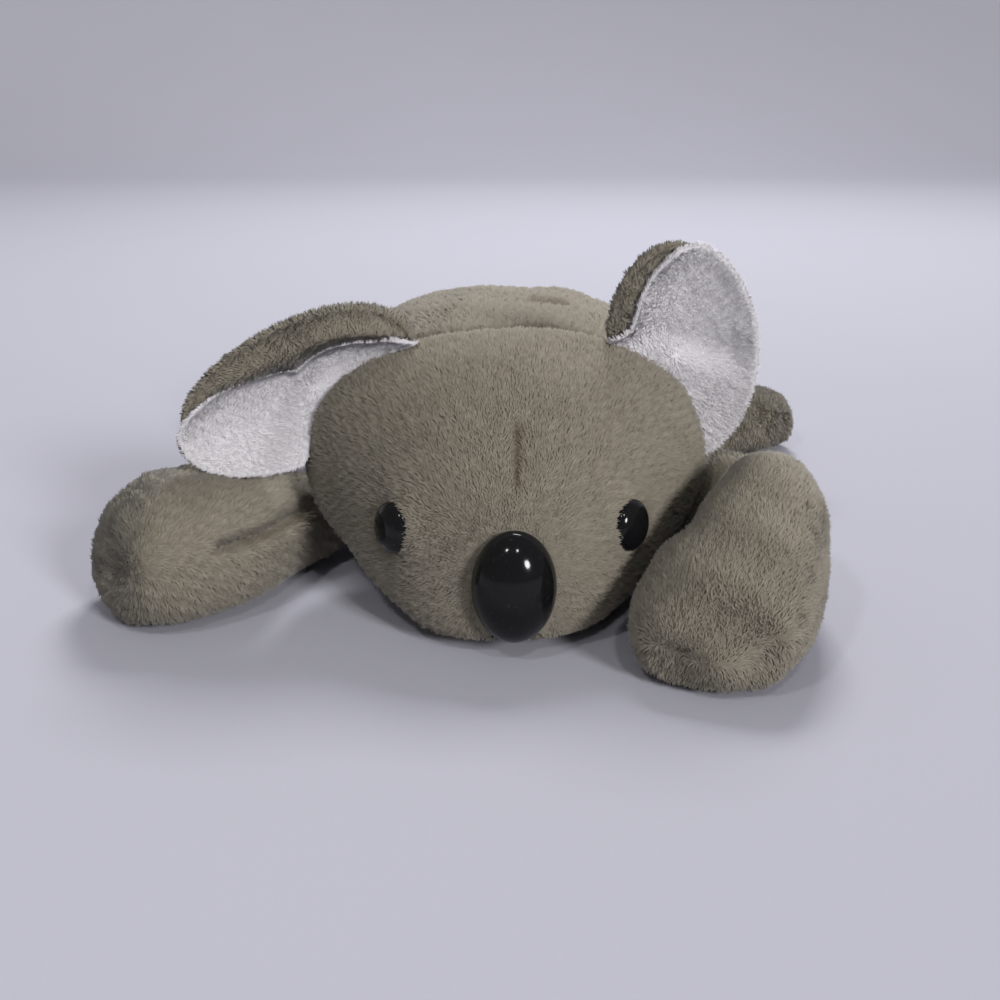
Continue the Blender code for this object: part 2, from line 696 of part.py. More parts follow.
def build():
    clear_scene()
    fur = material("grey_plush", FUR, 0.9)
    white = material("white_plush", WHITE_FUR, 0.9)
    black = material("black_plastic", BLACK_PLASTIC, 0.15)
    stuffing = material("stuffing", STUFFING, 0.95)
    washer = material("washer_plastic", WASHER_PLASTIC, 0.5)

    neck_place = (0.0, -NECK_FORWARD, NECK_HEIGHT)
    neck_joint = pivot("neck_joint", neck_place)
    head_joint = pivot("head_joint", neck_place, neck_joint)
    bm = bmesh.new()
    bmesh.ops.create_uvsphere(bm, u_segments=HEAD_SIDES, v_segments=TORSO_SIDES // 2, radius=NECK_RADIUS)
    bmesh.ops.translate(bm, verts=bm.verts, vec=Vector(neck_place))
    mesh = bpy.data.meshes.new("neck_wad")
    bm.to_mesh(mesh)
    bm.free()
    mesh.shade_smooth()
    add_object("neck_wad", mesh, stuffing, neck_joint)
    neck_seat = seat_cutter("neck_seat", neck_place, NECK_RADIUS)

    shoulders = [(sign * SHOULDER_OUT, -SHOULDER_FORWARD, SHOULDER_HEIGHT) for sign in (1.0, -1.0)]
    hips = [(sign * HIP_OUT, HIP_BACK, HIP_HEIGHT) for sign in (1.0, -1.0)]
    seats = [neck_seat]
    for name, place in zip(("shoulder_left", "shoulder_right"), shoulders):
        seats.append(seat_cutter(name + "_seat", place, SHOULDER_RADIUS))
    for name, place in zip(("hip_left", "hip_right"), hips):
        seats.append(seat_cutter(name + "_seat", place, HIP_RADIUS))

    build_torso(fur, stuffing, seats)
    build_head(fur, stuffing, black, washer, neck_seat, head_joint)

    stations = signed(ARM_LEFT_STATION_SHARES, 1, -1)
    sizes = (stations, HEAD_WIDTH, ARM_REACH, ARM_LEFT_WIDTH, ARM_LEFT_HEIGHT)
    build_limb("arm_left", shoulders[0], SHOULDER_RADIUS, *sizes, fur, stuffing)
    stations = signed(ARM_RIGHT_STATION_SHARES, -1, -1)
    sizes = (stations, HEAD_WIDTH, ARM_REACH, ARM_RIGHT_WIDTH, ARM_RIGHT_HEIGHT)
    build_limb("arm_right", shoulders[1], SHOULDER_RADIUS, *sizes, fur, stuffing)
    for name, place, sign in (("leg_left", hips[0], 1), ("leg_right", hips[1], -1)):
        stations = signed(LEG_STATION_SHARES, sign, 1)
        sizes = (stations, LEG_REACH, LEG_REACH, LEG_WIDTH, LEG_HEIGHT)
        build_limb(name, place, HIP_RADIUS, *sizes, fur, stuffing)

    ears = (
        (
            "ear_left",
            Ear(
                1.0,
                EAR_LEFT_INSET,
                EAR_LEFT_RISE,
                EAR_LEFT_LENGTH,
                EAR_LEFT_BREADTH,
                EAR_LEFT_TILT,
                EAR_LEFT_CUP,
                EAR_LEFT_RIM_TURN,
            ),
        ),
        (
            "ear_right",
            Ear(
                -1.0,
                EAR_RIGHT_INSET,
                EAR_RIGHT_RISE,
                EAR_RIGHT_LENGTH,
                EAR_RIGHT_BREADTH,
                EAR_RIGHT_TILT,
                EAR_RIGHT_CUP,
                EAR_RIGHT_RIM_TURN,
            ),
        ),
    )
    for name, ear in ears:
        hinge = pivot(name + "_joint", (Vector(ear.hinge[0]) + Vector(ear.hinge[1])) / 2, head_joint)
        add_object(name + "_back", outward(ear.back_mesh(name + "_back")), fur, hinge)
        add_object(name + "_front", outward(ear.front_mesh(name + "_front")), white, hinge)
    neck_joint.rotation_euler.z = HEAD_TURN


build()
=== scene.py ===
"""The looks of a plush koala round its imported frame, laid out as a Blender add-on.

Metres, +Z up, the face looks along -Y and the koala's left is +X, as in the frame.
"""

import json
import math

import bmesh
import bpy
import numpy as np
from bpy.props import FloatProperty, FloatVectorProperty, IntProperty, PointerProperty
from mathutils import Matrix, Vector


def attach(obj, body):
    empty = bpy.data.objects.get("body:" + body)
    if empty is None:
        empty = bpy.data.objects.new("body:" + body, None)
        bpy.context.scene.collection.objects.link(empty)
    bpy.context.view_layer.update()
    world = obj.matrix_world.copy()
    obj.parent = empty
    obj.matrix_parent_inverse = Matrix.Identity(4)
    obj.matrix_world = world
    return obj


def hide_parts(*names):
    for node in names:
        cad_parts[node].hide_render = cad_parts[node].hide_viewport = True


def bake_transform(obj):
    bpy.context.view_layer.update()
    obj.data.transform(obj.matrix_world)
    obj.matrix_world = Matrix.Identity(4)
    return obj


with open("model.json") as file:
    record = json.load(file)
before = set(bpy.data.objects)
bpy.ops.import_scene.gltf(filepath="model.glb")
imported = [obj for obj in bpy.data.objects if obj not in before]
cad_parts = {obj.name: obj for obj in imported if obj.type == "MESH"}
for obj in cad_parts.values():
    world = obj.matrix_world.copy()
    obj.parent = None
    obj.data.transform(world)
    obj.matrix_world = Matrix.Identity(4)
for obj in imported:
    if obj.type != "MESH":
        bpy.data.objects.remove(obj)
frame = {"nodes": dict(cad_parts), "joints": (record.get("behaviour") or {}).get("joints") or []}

bl_info = {
    "name": "Plush koala",
    "version": (1, 0, 0),
    "blender": (4, 5, 0),
    "location": "3D View > Sidebar > Plush koala",
    "description": "Dresses the packed koala in plush, with its ears, nose, eyes and a studio",
    "category": "Object",
}

TURN = 2.0 * math.pi
MM = 0.001
TINY = 1e-9
UP = np.array((0.0, 0.0, 1.0))
JOINTS = {joint["name"]: joint for joint in frame["joints"]}

# Places and turns that come from the frame
NECK_PLACE = np.array(JOINTS["head_nod"]["pos_m"])
NOD_AXIS = JOINTS["head_nod"]["axis"]
HEAD_TURN = math.atan2(NOD_AXIS[1], NOD_AXIS[0])

# Torso: its length, width, height, its front end ahead of the origin, and its flat base
TORSO_LENGTH = 0.103
TORSO_WIDTH = 0.100
TORSO_HEIGHT = 0.064
TORSO_FRONT = 0.0425
TORSO_BASE = -0.0005
TORSO_FULLNESS = (2.4, 3.6)
# along the length, middle height, half width, rise and drop at each station
TORSO_STATION_SHARES = (
    (0.000, 0.484, 0.00, 0.000, 0.000),
    (0.010, 0.484, 0.28, 0.188, 0.203),
    (0.029, 0.477, 0.46, 0.313, 0.320),
    (0.068, 0.469, 0.62, 0.398, 0.406),
    (0.136, 0.453, 0.77, 0.469, 0.442),
    (0.243, 0.445, 0.88, 0.519, 0.453),
    (0.417, 0.445, 0.96, 0.550, 0.453),
    (0.592, 0.438, 1.00, 0.555, 0.446),
    (0.757, 0.422, 0.95, 0.500, 0.430),
    (0.874, 0.406, 0.79, 0.391, 0.391),
    (0.951, 0.391, 0.52, 0.250, 0.266),
    (0.990, 0.383, 0.24, 0.117, 0.125),
    (1.000, 0.383, 0.00, 0.000, 0.000),
)

# Head: as the torso, but it stands clear of the table by its base
HEAD_LENGTH = 0.0565
HEAD_WIDTH = 0.103
HEAD_HEIGHT = 0.0630
HEAD_FRONT = 0.102
HEAD_BASE = 0.0035
# fullness of the upper half, of the lower half at the muzzle, and of the lower half behind it
HEAD_FULLNESS = (2.2, 4.2, 2.5)
HEAD_ROUNDING_SHARES = (0.25, 0.70)
HEAD_STATION_SHARES = (
    (0.000, 0.219, 0.175, 0.206, 0.214),
    (0.018, 0.224, 0.262, 0.246, 0.234),
    (0.062, 0.238, 0.384, 0.302, 0.256),
    (0.125, 0.267, 0.490, 0.352, 0.287),
    (0.214, 0.310, 0.570, 0.405, 0.327),
    (0.304, 0.354, 0.645, 0.443, 0.365),
    (0.393, 0.397, 0.722, 0.468, 0.391),
    (0.500, 0.437, 0.815, 0.492, 0.412),
    (0.625, 0.460, 0.915, 0.513, 0.413),
    (0.750, 0.468, 0.970, 0.529, 0.397),
    (0.857, 0.460, 0.890, 0.484, 0.357),
    (0.929, 0.452, 0.709, 0.397, 0.310),
    (0.973, 0.452, 0.476, 0.270, 0.222),
    (1.000, 0.452, 0.000, 0.000, 0.000),
)

# Limbs: the ball in the body, the reach, width and height of each, and their stations
SHOULDER_RADIUS = 0.0125
HIP_RADIUS = 0.0120
ARM_REACH = 0.0960
ARM_LEFT_WIDTH = 0.0400
ARM_LEFT_HEIGHT = 0.0415
ARM_RIGHT_WIDTH = 0.0450
ARM_RIGHT_HEIGHT = 0.0310
LEG_REACH = 0.0635
LEG_WIDTH = 0.0300
LEG_HEIGHT = 0.0215
LIMB_FULLNESS = (2.2, 2.8)
BALL_ANGLES = (math.radians(12.0), math.radians(125.0))
BALL_RINGS = 9
GROWN_RINGS = 18
# out from the shoulder as a share of the head's width, ahead of it as a share of the reach,
# then half width, top and base
ARM_LEFT_STATION_SHARES = (
    (0.120, 0.229, 0.540, 0.760, 0.024),
    (0.215, 0.344, 0.590, 0.800, 0.000),
    (0.230, 0.448, 0.640, 0.910, -0.012),
    (0.226, 0.552, 0.690, 0.985, -0.012),
    (0.198, 0.635, 0.790, 0.952, -0.012),
    (0.156, 0.729, 0.870, 0.855, -0.012),
    (0.090, 0.823, 0.990, 0.723, -0.012),
    (0.034, 0.917, 0.890, 0.554, -0.012),
    (0.006, 0.990, 0.400, 0.313, 0.060),
    (0.001, 1.000, 0.000, 0.193, 0.193),
)
ARM_RIGHT_STATION_SHARES = (
    (0.126, 0.200, 0.430, 0.780, 0.032),
    (0.224, 0.313, 0.610, 0.960, 0.000),
    (0.330, 0.437, 0.920, 1.070, -0.016),
    (0.432, 0.512, 0.980, 1.060, -0.016),
    (0.512, 0.552, 0.800, 0.910, -0.010),
    (0.562, 0.578, 0.420, 0.600, 0.140),
    (0.574, 0.585, 0.000, 0.387, 0.387),
)
LEG_STATION_SHARES = (
    (0.260, 0.120, 0.64, 0.95, 0.06),
    (0.480, 0.240, 0.80, 0.97, 0.00),
    (0.690, 0.360, 0.98, 1.00, -0.02),
    (0.830, 0.440, 0.78, 0.86, 0.04),
    (0.877, 0.470, 0.00, 0.45, 0.45),
)

# How far under the form's face the filling starts
FILLING_DEPTH = 0.0055

# Ears: the upright plane that they are drawn in and their dish
EAR_STATION_SHARE = 0.75
EAR_PLANE = EAR_STATION_SHARE * HEAD_LENGTH - HEAD_FRONT
EAR_DISH = 0.0030
EAR_SECTORS = 144
EAR_STEPS = 24
# side, inset, rise, length, breadth, tilt and cup
EARS = {
    "ear_left": (1.0, 0.0095, 0.0250, 0.0550, 0.0370, 96.0, 0.0025),
    "ear_right": (-1.0, 0.0015, 0.0170, 0.0630, 0.0340, -27.0, 0.0090),
}
# breadth of the rim, where the grey cloth rolls forward over the white, by the turn round
# the ear in degrees
EAR_RIMS = {
    "ear_left": (
        (82.0, 0.0), (95.0, 0.0022), (105.0, 0.0044), (120.0, 0.0062),
        (136.0, 0.0068), (156.0, 0.0062), (163.0, 0.0040), (172.0, 0.0),
    ),
    "ear_right": (
        (16.0, 0.0), (22.0, 0.0006), (28.0, 0.0050), (34.0, 0.0098), (44.0, 0.0125),
        (60.0, 0.0135), (104.0, 0.0130), (128.0, 0.0118), (157.0, 0.0112),
        (168.0, 0.0096), (182.0, 0.0053), (192.0, 0.0018), (200.0, 0.0),
    ),
}
RIM_ROLL_SHARE = 0.32

# soft folds of the ears: a line in X and Z, its half width, and how far the cloth stands
# forward there
EAR_FOLDS = {
    "ear_left": (
        (((0.0289, 0.0654), (0.0530, 0.0598)), 0.0040, -0.0008),
        (((0.0275, 0.0596), (0.0516, 0.0540)), 0.0048, 0.0008),
    ),
    "ear_right": (
        (((-0.0256, 0.0586), (-0.0524, 0.0352)), 0.0065, 0.0024),
        (((-0.0500, 0.0620), (-0.0590, 0.0420)), 0.0045, -0.0016),
    ),
}

# Creases of the plush: a line, its half width and its depth. The pile along them is darkened with painted
# shade.
CREASES = {
    "head": (
        (((0.0024, -0.0958, 0.0380), (0.0025, -0.0932, 0.0419), (0.0025, -0.0874, 0.0489)), 0.0011, 0.0008),
    ),
    "arm_right": (
        (((-0.0658, -0.0882, 0.0207), (-0.0613, -0.0831, 0.0207), (-0.0566, -0.0763, 0.0205)),
         0.0016, 0.0042),
        (((-0.0566, -0.0763, 0.0205), (-0.0518, -0.0614, 0.0188), (-0.0440, -0.0540, 0.0230)),
         0.0020, 0.0030),
    ),
    "torso": (
        (((0.0095, -0.0020, 0.0610), (0.0155, -0.0010, 0.0610)), 0.0030, 0.0012),
        (((-0.0250, -0.0213, 0.0542), (-0.0120, -0.0250, 0.0570), (0.0000, -0.0261, 0.0578),
          (0.0120, -0.0250, 0.0570), (0.0240, -0.0215, 0.0545)), 0.0015, 0.0014),
    ),
    "leg_left": (
        (((0.0860, 0.0440, 0.0190), (0.0890, 0.0460, 0.0120)), 0.0012, 0.0010),
        (((0.0840, 0.0520, 0.0190), (0.0870, 0.0560, 0.0120)), 0.0012, 0.0010),
    ),
}

# Nose and eyes
NOSE_SIZE = (0.0190, 0.0265, 0.0080)
NOSE_STEM = (0.0020, 0.0100)
EYE_SIZE = (0.0120, 0.0120, 0.0030)
EYE_STEM = (0.0015, 0.0085)
BUTTON_SIDES = 96
# how far the cloth swells out, and in over the eye, on the eye's inner side
LID_RISE = 0.0018
LID_REACH = 0.0012

# Covers: depth, length and seed of their lumps
LUMPS = {
    "torso": (0.5 * MM, 26 * MM, 11),
    "head": (0.35 * MM, 22 * MM, 21),
    "arm_left": (0.35 * MM, 18 * MM, 31),
    "arm_right": (0.35 * MM, 18 * MM, 41),
    "leg_left": (0.35 * MM, 18 * MM, 51),
    "leg_right": (0.35 * MM, 18 * MM, 61),
}

# Pile: its strands' lean in degrees, their spacing and width as shares of the panel's, and seed
PILES = {
    "torso_pile": (60.0, 1.2, 1.2, 13),
    "neck_pile": (20.0, 1.5, 1.3, 17),
    "head_pile": (46.0, 0.92, 0.95, 23),
    "arm_left_pile": (46.0, 1.05, 1.05, 32),
    "arm_right_pile": (46.0, 1.05, 1.05, 42),
    "leg_left_pile": (46.0, 1.18, 1.18, 52),
    "leg_right_pile": (46.0, 1.18, 1.18, 62),
    "ear_left_shell_pile": (50.0, 1.05, 1.0, 72),
    "ear_left_lining_pile": (60.0, 0.88, 0.7, 76),
    "ear_right_shell_pile": (50.0, 1.05, 1.0, 82),
    "ear_right_lining_pile": (60.0, 0.88, 0.7, 86),
}
# how a strand's direction, length and tone differ by chance and with the ripple of the tufts
TANGLE = 0.22
TUFT = 1.7 * MM
STRAY = 0.12
LENGTH_WAVE, LENGTH_CHANCE = 0.22, 0.08
TONE_MIDDLE, TONE_WAVE, TONE_CHANCE = 0.6, 0.14, 0.08
# how much shorter the pile is in a crease, and how much painted shade darkens it there
CREASE_SHORTER, CREASE_PAINTED_SHADE = 0.55, 0.9
# least outward share of a strand's direction, and limits to its length and width as shares
LEAST_OUTWARD = 0.25
LENGTH_LIMITS = (0.3, 2.6)
WIDTH_LIMITS = (0.75, 1.25)
# how high a strand's tip stays over the table, and the share of the pile on faces that look
# down, past the limit of their upward part
TIP_CLEARANCE = 0.1 * MM
LYING_LIMIT, LYING_SHARE = -0.8, 0.35
# no pile grows on the torso and the head this near the neck's middle
NECK_CLEARANCE = 22 * MM
LEAST_STRANDS = 200

# Stage: the lamps' places, the floor's reach and the bend up to its back
KEY_PLACE, KEY_SIZE = (0.16, 0.74, 1.00), 0.4
FRONT_PLACE, FRONT_ANGLE = (0.70, -0.92, 0.52), math.radians(13)
FILL_PLACES, FILL_SIZE = ((-0.22, -0.42, 0.55), (0.12, -0.50, 0.60)), 0.05
LAMP_AIM = (0.0, -0.03, 0.03)
FLOOR_REACH = 4.0
BEND_START, BEND_RADIUS = 1.1, 0.8
FLOOR_DROP = -0.1 * MM


def number_property(name, about, default, **more):
    return FloatProperty(name=name, description=about, default=default, **more)


def length_property(name, about, default):
    return FloatProperty(name=name, description=about, default=default, unit="LENGTH")


def colour_property(name, about, default):
    return FloatVectorProperty(name=name, description=about, default=default, subtype="COLOR")


class KoalaPlush(bpy.types.PropertyGroup):
    """Sizes and colours of the plush."""

    pile_length: length_property("Pile length", "Length of the grey pile's strands", 0.0014)
    pile_width: length_property("Pile width", "Width of a strand at its root", 0.00062)
    pile_depth: length_property("Pile depth", "How far the cloth lies under its pile's tips", 0.0010)
    pile_spacing: length_property("Pile spacing", "Mean distance between the grey strands", 0.000385)
    lining_length: length_property("Lining pile length", "Length of the ears' white pile", 0.0011)
    cloth_wall: length_property("Cloth wall", "Thickness of the cloth that carries the pile", 0.0005)
    strands_per_piece: IntProperty(
        name="Strands in a piece", description="The most strands that a piece of pile holds", default=48000
    )
    root_colour: colour_property("Root colour", "Grey pile at its roots", (0.240, 0.217, 0.176))
    tip_colour: colour_property("Tip colour", "Grey pile at its tips", (0.310, 0.284, 0.232))
    white_root_colour: colour_property("White root colour", "White pile at its roots", (0.68, 0.66, 0.68))
    white_tip_colour: colour_property("White tip colour", "White pile at its tips", (0.74, 0.72, 0.74))


class KoalaStage(bpy.types.PropertyGroup):
    """The camera, lamps and floor."""

    camera_place: FloatVectorProperty(
        name="Camera place",
        description="Where the camera stands",
        default=(-0.0013, -0.345, 0.126),
        unit="LENGTH",
    )
    camera_pitch: number_property(
        "Camera pitch", "Turn of the camera up from straight down", math.radians(70.0), unit="ROTATION"
    )
    camera_lens: number_property("Lens", "Focal length in millimetres over a sensor 36 mm wide", 43.2)
    key_power: number_property("Key lamp", "Power of the lamp above and behind, in watts", 10.5)
    front_power: number_property("Front light", "Strength of the far light in front, in W per m2", 2.0)
    fill_power: number_property("Fill lamps", "Power of the two small lamps in front, in watts", 0.55)
    floor_colour: colour_property("Floor colour", "Colour of the floor and its back", (0.480, 0.477, 0.545))
    sky_strength: number_property("Sky strength", "Strength of the even light from all round", 0.22)


def smooth_rows(rows, count):
    """Rows read evenly from a smooth curve through the given ones, by Hermite steps."""
    rows = np.array(rows, dtype=float)
    steps = np.linalg.norm(np.diff(rows, axis=0), axis=1)
    places = np.concatenate(([0.0], np.cumsum(steps)))
    slopes = np.gradient(rows, places, axis=0)
    wanted = np.linspace(0.0, places[-1], count)
    left = np.clip(np.searchsorted(places, wanted, side="right") - 1, 0, len(rows) - 2)
    span = (places[left + 1] - places[left])[:, None]
    t = (wanted - places[left])[:, None] / span
    return (
        (2 * t**3 - 3 * t**2 + 1) * rows[left]
        + (t**3 - 2 * t**2 + t) * span * slopes[left]
        + (3 * t**2 - 2 * t**3) * rows[left + 1]
        + (t**3 - t**2) * span * slopes[left + 1]
    )


def turned(points, angle=HEAD_TURN, place=NECK_PLACE):
    """Points turned about the upright line through a place, by a turn in X and Y."""
    flat = points - place
    x = flat[..., 0] * math.cos(angle) - flat[..., 1] * math.sin(angle)
    y = flat[..., 0] * math.sin(angle) + flat[..., 1] * math.cos(angle)
    return np.stack((x, y, flat[..., 2]), axis=-1) + place


def unit(vectors):
    """Vectors divided by their own lengths."""
    return vectors / np.maximum(np.linalg.norm(vectors, axis=-1, keepdims=True), TINY)


def ripple(points, wave, seed, waves=14):
    """A smooth vector field: the mean of sine waves of about one length, in random
    directions, phases and amplitudes."""
    random = np.random.default_rng(seed)
    aims = unit(random.normal(size=(waves, 3))) * TURN / wave
    aims *= random.uniform(0.7, 1.4, (waves, 1))
    phases = random.uniform(0.0, TURN, waves)
    pushes = random.normal(size=(waves, 3))
    return np.sin(points @ aims.T + phases) @ pushes / math.sqrt(waves)


class Form:
    """A stuffed form: rings of a rounded outline round a spine of rows.

    A row is x, y and z of the ring's middle, its half width, rise and drop. Across and up
    of a ring at an angle are cosine and sine, each to the power 2 over the fullness, times
    the half width and the rise or the drop.
    """

    def __init__(self, rows, fullness, sides=None):
        self.rows = rows
        top, low = (np.broadcast_to(value, len(rows)) for value in fullness)
        self.top, self.low = top, low
        self.sides = np.array((-1.0, 0.0, 0.0)) if sides is None else sides

    def grid(self, count):
        """Points of every ring, by ring and angle."""
        angles = np.arange(count) * TURN / count
        across, up = np.cos(angles), np.sin(angles)
        power = 2 / np.where(up >= 0, self.top[:, None], self.low[:, None])
        across = np.sign(across) * np.abs(across) ** power
        up = np.sign(up) * np.abs(up) ** power
        height = np.where(up >= 0, self.rows[:, 4:5], self.rows[:, 5:6]) * up
        sides = np.broadcast_to(self.sides, (len(self.rows), 3))
        points = self.rows[:, None, :3] + (across * self.rows[:, 3:4])[..., None] * sides[:, None]
        return points + height[..., None] * UP

    def out(self, points):
        """How far out points lie in a form along Y: under 1 is inside, 1 is on its face."""
        x, z, half, rise, drop = (
            np.interp(points[:, 1], self.rows[:, 1], self.rows[:, column])
            for column in (0, 2, 3, 4, 5)
        )
        up = points[:, 2] - z
        low = np.interp(points[:, 1], self.rows[:, 1], self.low)
        power = np.where(up >= 0, self.top[0], low)
        height = np.maximum(np.where(up >= 0, rise, drop), TINY)
        share = np.abs(points[:, 0] - x) / np.maximum(half, TINY)
        value = share**power + np.abs(up / height) ** power
        ends = (points[:, 1] < self.rows[0, 1]) | (points[:, 1] > self.rows[-1, 1])
        return np.where(ends, np.inf, value)


def lying_form(shares, size, front, base, fullness, rings):
    """A form along Y, from its table of stations."""
    length, width, height = size
    rows = []
    for along, middle, half, rise, drop in shares:
        outline = (base + middle * height, half * width / 2, rise * height, drop * height)
        rows.append((0.0, along * length - front, *outline))
    return Form(smooth_rows(rows, rings), fullness)


def limb_form(root, radius, shares, spread, reach, width, height, signs, rings):
    """A form along a bent spine: a ball round the joint, a neck, then the paw.

    The ball's rings have the radius times the sine of their angle, and the rings after it
    grow from round to as full as the paw.
    """
    rows = []
    for out, along, half, top, base in shares:
        middle, tall = (top + base) / 2 * height, (top - base) / 2 * height
        place = root[:2] + np.array((out * signs[0] * spread, along * signs[1] * reach))
        rows.append((*place, middle, half * width / 2, tall, tall))
    lead = unit(np.array(rows[0][:2]) - root[:2])
    angles = np.linspace(*BALL_ANGLES, BALL_RINGS)
    sizes = radius * np.sin(angles)
    ball = np.column_stack(
        (root[:2] - lead * (radius * np.cos(angles))[:, None], sizes * 0 + root[2], sizes, sizes, sizes)
    )
    spine = np.concatenate((ball[:-1], smooth_rows(np.concatenate((ball[-1:], rows)), rings)))
    tangents = unit(np.gradient(spine[:, :2], axis=0))
    sides = np.column_stack((tangents[:, 1], -tangents[:, 0], tangents[:, 0] * 0))
    grown = np.clip((np.arange(len(spine)) - BALL_RINGS) / GROWN_RINGS, 0, 1)
    fullness = [2 + (value - 2) * grown for value in LIMB_FULLNESS]
    return Form(spine, fullness, sides)


def add_piece(name, mesh, finish, body=None):
    """A new object at the origin with one material, on a body and in a material slot."""
    made = bpy.data.objects.new(name, mesh)
    bpy.context.scene.collection.objects.link(made)
    mesh.materials.append(finish)
    if body:
        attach(made, body)
    return made


def new_mesh(name, points, faces):
    """A mesh from arrays of points and of faces, which all have as many corners."""
    mesh = bpy.data.meshes.new(name)
    mesh.vertices.add(points.size // 3)
    mesh.vertices.foreach_set("co", points.reshape(-1).astype(np.float32))
    mesh.loops.add(faces.size)
    mesh.loops.foreach_set("vertex_index", faces.reshape(-1).astype(np.int32))
    mesh.polygons.add(len(faces))
    starts = np.arange(0, faces.size, faces.shape[1], dtype=np.int32)
    mesh.polygons.foreach_set("loop_start", starts)
    mesh.update(calc_edges=True)
    return mesh


def grid_mesh(name, grid):
    """Quads over a grid of points that closes round its second way. Its first and last
    rings are drawn together into one point each."""
    grid = np.concatenate((grid[:1] * 0 + grid[0].mean(axis=0), grid, grid[:1] * 0 + grid[-1].mean(axis=0)))
    rings, sides = grid.shape[:2]
    ring, side = np.meshgrid(np.arange(rings - 1), np.arange(sides), indexing="ij")
    after = (side + 1) % sides
    quads = np.stack(
        (ring * sides + side, ring * sides + after, (ring + 1) * sides + after, (ring + 1) * sides + side),
        axis=-1,
    ).reshape(-1, 4)
    mesh = new_mesh(name, grid, quads)
    bm = bmesh.new()
    bm.from_mesh(mesh)
    bmesh.ops.remove_doubles(bm, verts=bm.verts, dist=MM / 1000)
    bmesh.ops.recalc_face_normals(bm, faces=bm.faces)
    bm.to_mesh(mesh)
    bm.free()
    mesh.shade_smooth()
    return mesh


def read_points(mesh):
    """A mesh's points and their outward directions, as arrays."""
    points = np.empty(len(mesh.vertices) * 3, np.float32)
    mesh.vertices.foreach_get("co", points)
    normals = np.empty(len(mesh.vertices) * 3, np.float32)
    mesh.vertex_normals.foreach_get("vector", normals)
    return points.reshape(-1, 3).astype(float), normals.reshape(-1, 3).astype(float)


def write_points(mesh, points):
    mesh.vertices.foreach_set("co", points.reshape(-1).astype(np.float32))
    mesh.update()


def drawn_in(mesh, depth):
    """Every point moved in against its outward direction by the depth, but not under the table."""
    points, normals = read_points(mesh)
    points[:, 2] = np.maximum(points[:, 2], 0.0)
    points -= normals * depth
    write_points(mesh, points)
    return mesh


def sample(mesh, count, keep, seed):
    """Points spread over a mesh by area, with their outward directions.

    Triangles are picked evenly along the sum of their areas, each times keep at its middle,
    and the place in a triangle comes from two random shares.
    """
    points, normals = read_points(mesh)
    mesh.calc_loop_triangles()
    corners = np.empty(len(mesh.loop_triangles) * 3, np.int32)
    mesh.loop_triangles.foreach_get("vertices", corners)
    corners = corners.reshape(-1, 3)
    a, b, c = (points[corners[:, index]] for index in range(3))
    areas = np.linalg.norm(np.cross(b - a, c - a), axis=1) / 2
    weights = areas * keep((a + b + c) / 3, unit(normals[corners].sum(axis=1)))
    random = np.random.default_rng(seed)
    total = np.cumsum(weights)
    picks = (np.arange(count) + random.random(count)) / count * total[-1]
    picked = np.minimum(np.searchsorted(total, picks), len(corners) - 1)
    first, second = np.sqrt(random.random(count)), random.random(count)
    shares = np.stack((1 - first, first * (1 - second), first * second), axis=1)[..., None]
    chosen = corners[picked]
    roots = (points[chosen] * shares).sum(axis=1)
    aims = unit((normals[chosen] * shares).sum(axis=1))
    order = random.permutation(count)
    return roots[order], aims[order], total[-1]


def strand_mesh(name, roots, normals, tips, widths, tones):
    """Closed spikes of four triangles: three points round the root, a third of a turn
    apart, and one at the tip. Tone and the way from root to tip go into an attribute and
    the baking map, so a strand's colour is a function of these two."""
    count = len(roots)
    aims = unit(tips - roots)
    across = unit(np.cross(normals, aims))
    lift = np.cross(aims, across)
    angles = TURN / 12 + np.arange(3) * TURN / 3
    ring = np.cos(angles)[:, None] * across[:, None] + np.sin(angles)[:, None] * lift[:, None]
    base = roots[:, None] + ring * (widths / 2)[:, None, None]
    points = np.concatenate((base, tips[:, None]), axis=1)
    faces = np.array(((0, 1, 3), (1, 2, 3), (2, 0, 3), (2, 1, 0)))
    corners = (np.arange(count)[:, None, None] * 4 + faces).reshape(-1, 3)
    mesh = new_mesh(name, points, corners)
    along = np.array((0.0, 0.0, 0.0, 1.0))
    strand = np.zeros((count, 4, 3), np.float32)
    strand[..., 0] = tones[:, None]
    strand[..., 1] = along
    mesh.attributes.new("strand", "FLOAT_VECTOR", "POINT").data.foreach_set("vector", strand.reshape(-1))
    half = 0.01
    shifts = np.tile(np.array((-half, half, 0.0)), 4)
    rises = along[faces].reshape(-1)
    uv = np.empty((count, 12, 2), np.float32)
    uv[..., 0] = (half + tones * (1 - 2 * half))[:, None] + shifts
    uv[..., 1] = half + rises * (1 - 2 * half)
    mesh.uv_layers.new(name="OFBake").data.foreach_set("uv", uv.reshape(-1))
    mesh.shade_smooth()
    soft = np.repeat(unit(normals + lift * 0.25)[:, None], 4, axis=1).reshape(-1, 3)
    mesh.normals_split_custom_set_from_vertices(soft.astype(np.float32))
    return mesh


def settle(piece, place):
    """A piece put on the body of a name, or where a function of the piece puts it."""
    if callable(place):
        place(piece)
    else:
        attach(piece, place)


def lying_share(normals):
    """The share of the pile that stays: less on what lies on the table."""
    return np.where(normals[:, 2] < LYING_LIMIT, LYING_SHARE, 1.0)


def clear_of_neck(points):
    return np.linalg.norm(points - NECK_PLACE, axis=1) > NECK_CLEARANCE


